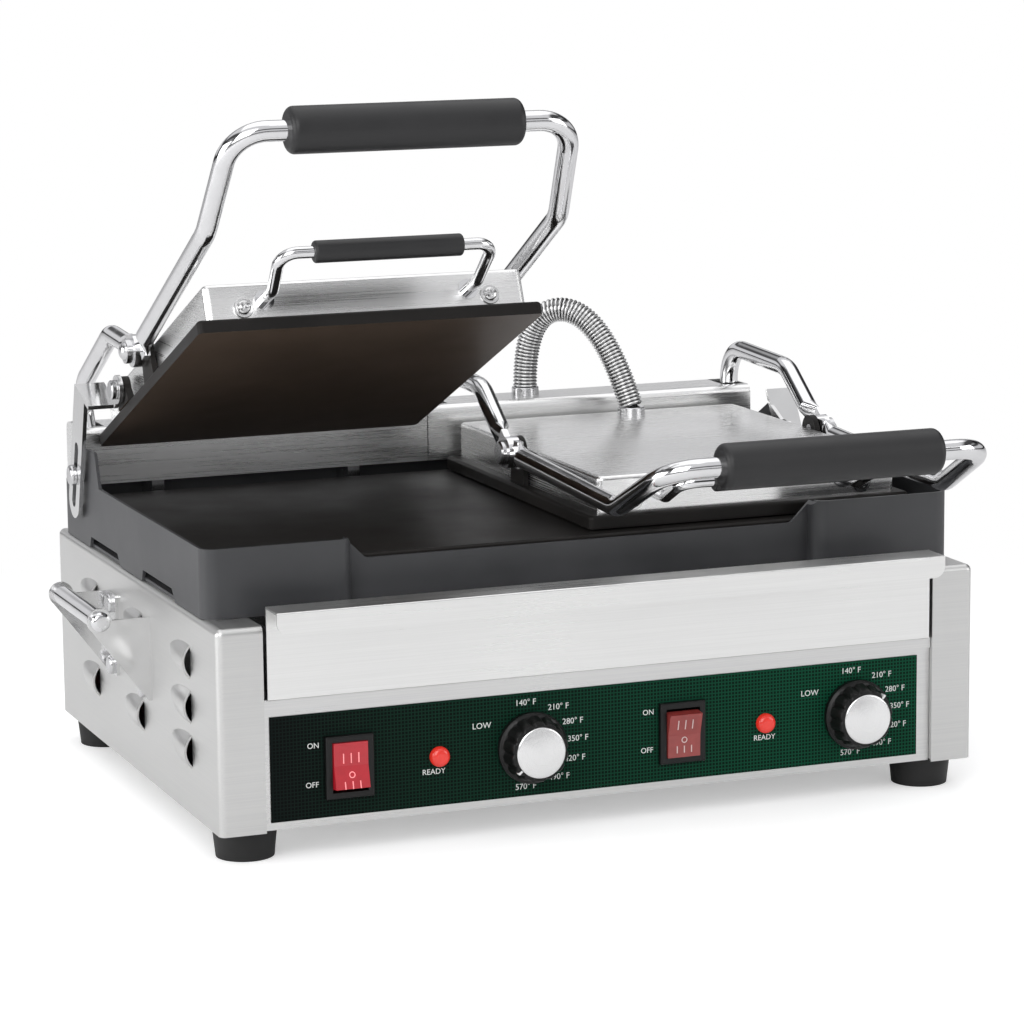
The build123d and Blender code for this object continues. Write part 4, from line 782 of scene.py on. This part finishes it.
# Conduits: ribbed tubes on a smooth line through the route's points
def smooth_line(name, points):
    curve = bpy.data.curves.new(name, "CURVE")
    curve.dimensions = "3D"
    curve.resolution_u = 40
    spline = curve.splines.new("NURBS")
    spline.points.add(len(points) - 1)
    for point, place in zip(spline.points, points):
        point.co = (*place, 1.0)
    spline.order_u = 3
    spline.use_endpoint_u = True
    obj = placed(name, curve)
    bpy.context.view_layer.update()
    graph = bpy.context.evaluated_depsgraph_get()
    mesh = bpy.data.meshes.new_from_object(obj.evaluated_get(graph))
    line = [v.co.copy() for v in mesh.vertices]
    bpy.data.objects.remove(obj)
    return line


def walk(line, step):
    total = sum((b - a).length for a, b in zip(line, line[1:]))
    count = max(2, round(total / step))
    places, spans, index, passed = [], total / count, 0, 0.0
    for n in range(count + 1):
        goal = min(n * spans, total - 1e-9)
        while passed + (line[index + 1] - line[index]).length < goal:
            passed += (line[index + 1] - line[index]).length
            index += 1
        span = line[index + 1] - line[index]
        share = (goal - passed) / span.length
        places.append((line[index] + span * share, span.normalized()))
    return places


def wave(index):
    return 0.5 - 0.5 * math.cos(2 * math.pi * index / HOSE_STEPS)


def ribbed(name, line, mat):
    rings = walk(line, HOSE_PITCH * MM / HOSE_STEPS)
    sides = HOSE_SIDES
    verts, faces = [], []
    across = Vector((1, 0, 0))
    for index, (centre, ahead) in enumerate(rings):
        out = (across - ahead * across.dot(ahead)).normalized()
        side = ahead.cross(out)
        across = out
        radius = (HOSE_VALLEY + (HOSE_CREST - HOSE_VALLEY) * wave(index) ** 0.6) * MM
        for k in range(sides):
            turn = 2 * math.pi * k / sides
            verts.append(centre + (out * math.cos(turn) + side * math.sin(turn)) * radius)
    for index in range(len(rings) - 1):
        for k in range(sides):
            a = index * sides + k
            b = index * sides + (k + 1) % sides
            faces.append((a, b, b + sides, a + sides))
    mesh = bpy.data.meshes.new(name)
    mesh.from_pydata(verts, [], faces)
    mesh.materials.append(mat)
    for face in mesh.polygons:
        face.use_smooth = True
    # Wave height per ring, which the conduit material turns into painted shade in the valleys.
    height = mesh.attributes.new("height", "FLOAT", "POINT")
    for index in range(len(rings)):
        for k in range(sides):
            height.data[index * sides + k].value = wave(index)
    return placed(name, mesh)


def hose_steel():
    mat, tree, bsdf = shader("conduit_steel", (0.70, 0.70, 0.70), 0.12, 1.0)
    height = tree.nodes.new("ShaderNodeAttribute")
    height.attribute_name = "height"
    # Base colour runs dark in the rib valleys and light on the crests: painted shade in the
    # creases.
    painted_valley_shade = tinted(tree, height.outputs["Fac"], (0.20, 0.20, 0.20), (0.78, 0.78, 0.78), 0.1, 0.6)
    tree.links.new(painted_valley_shade, bsdf.inputs["Base Color"])
    tree.links.new(ranged(tree, noise(tree, 90.0, 4.0), 0.10, 0.22), bsdf.inputs["Roughness"])
    return mat


def swing(point, centre, angle):
    c, s = math.cos(math.radians(angle)), math.sin(math.radians(angle))
    y, z = point[0] - centre[0], point[1] - centre[1]
    return (centre[0] + y * c + z * s, centre[1] - y * s + z * c)


def opened(point):
    return swing(swing(point, HINGE, ARM_ANGLE), TILT_OPEN, TILT_ANGLE)


def make_conduits():
    steel = hose_steel()
    for side, name in ((-1, "left"), (1, "right")):
        base_x = side * LID_X + HOSE_BASE[0]
        lid_x = side * LID_X + HOSE_LID[0]
        if side > 0:
            end, above, rise = HOSE_LID[1:], (299.0, 264.0), 266.0
        else:
            end, above, rise = opened(HOSE_LID[1:]), opened((294.0, 246.0)), 274.0
        points = [
            at(base_x, HOSE_BASE[1], HOSE_BASE[2]),
            at(base_x, HOSE_BASE[1], rise),
            at(lid_x - HOSE_LEAN, above[0], above[1]),
            at(lid_x, end[0], end[1]),
        ]
        line = smooth_line(name + "_route", points)
        middle = len(line) // 2
        lower = ribbed(name + "_conduit_base", line[: middle + 1], steel)
        upper = ribbed(name + "_conduit_lid", line[middle:], steel)
        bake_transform(lower)
        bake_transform(upper)
        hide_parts(name + "_conduit")
        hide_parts(name + "_conduit")


make_camera()
make_world()
make_floor()
for lamp in LAMPS:
    area_light(*lamp)
dress_nodes()
label_words()
make_knobs()
knob_marks()
rocker_marks()
lid_screws()
make_conduits()

bpy.context.scene.view_settings.view_transform = "Standard"
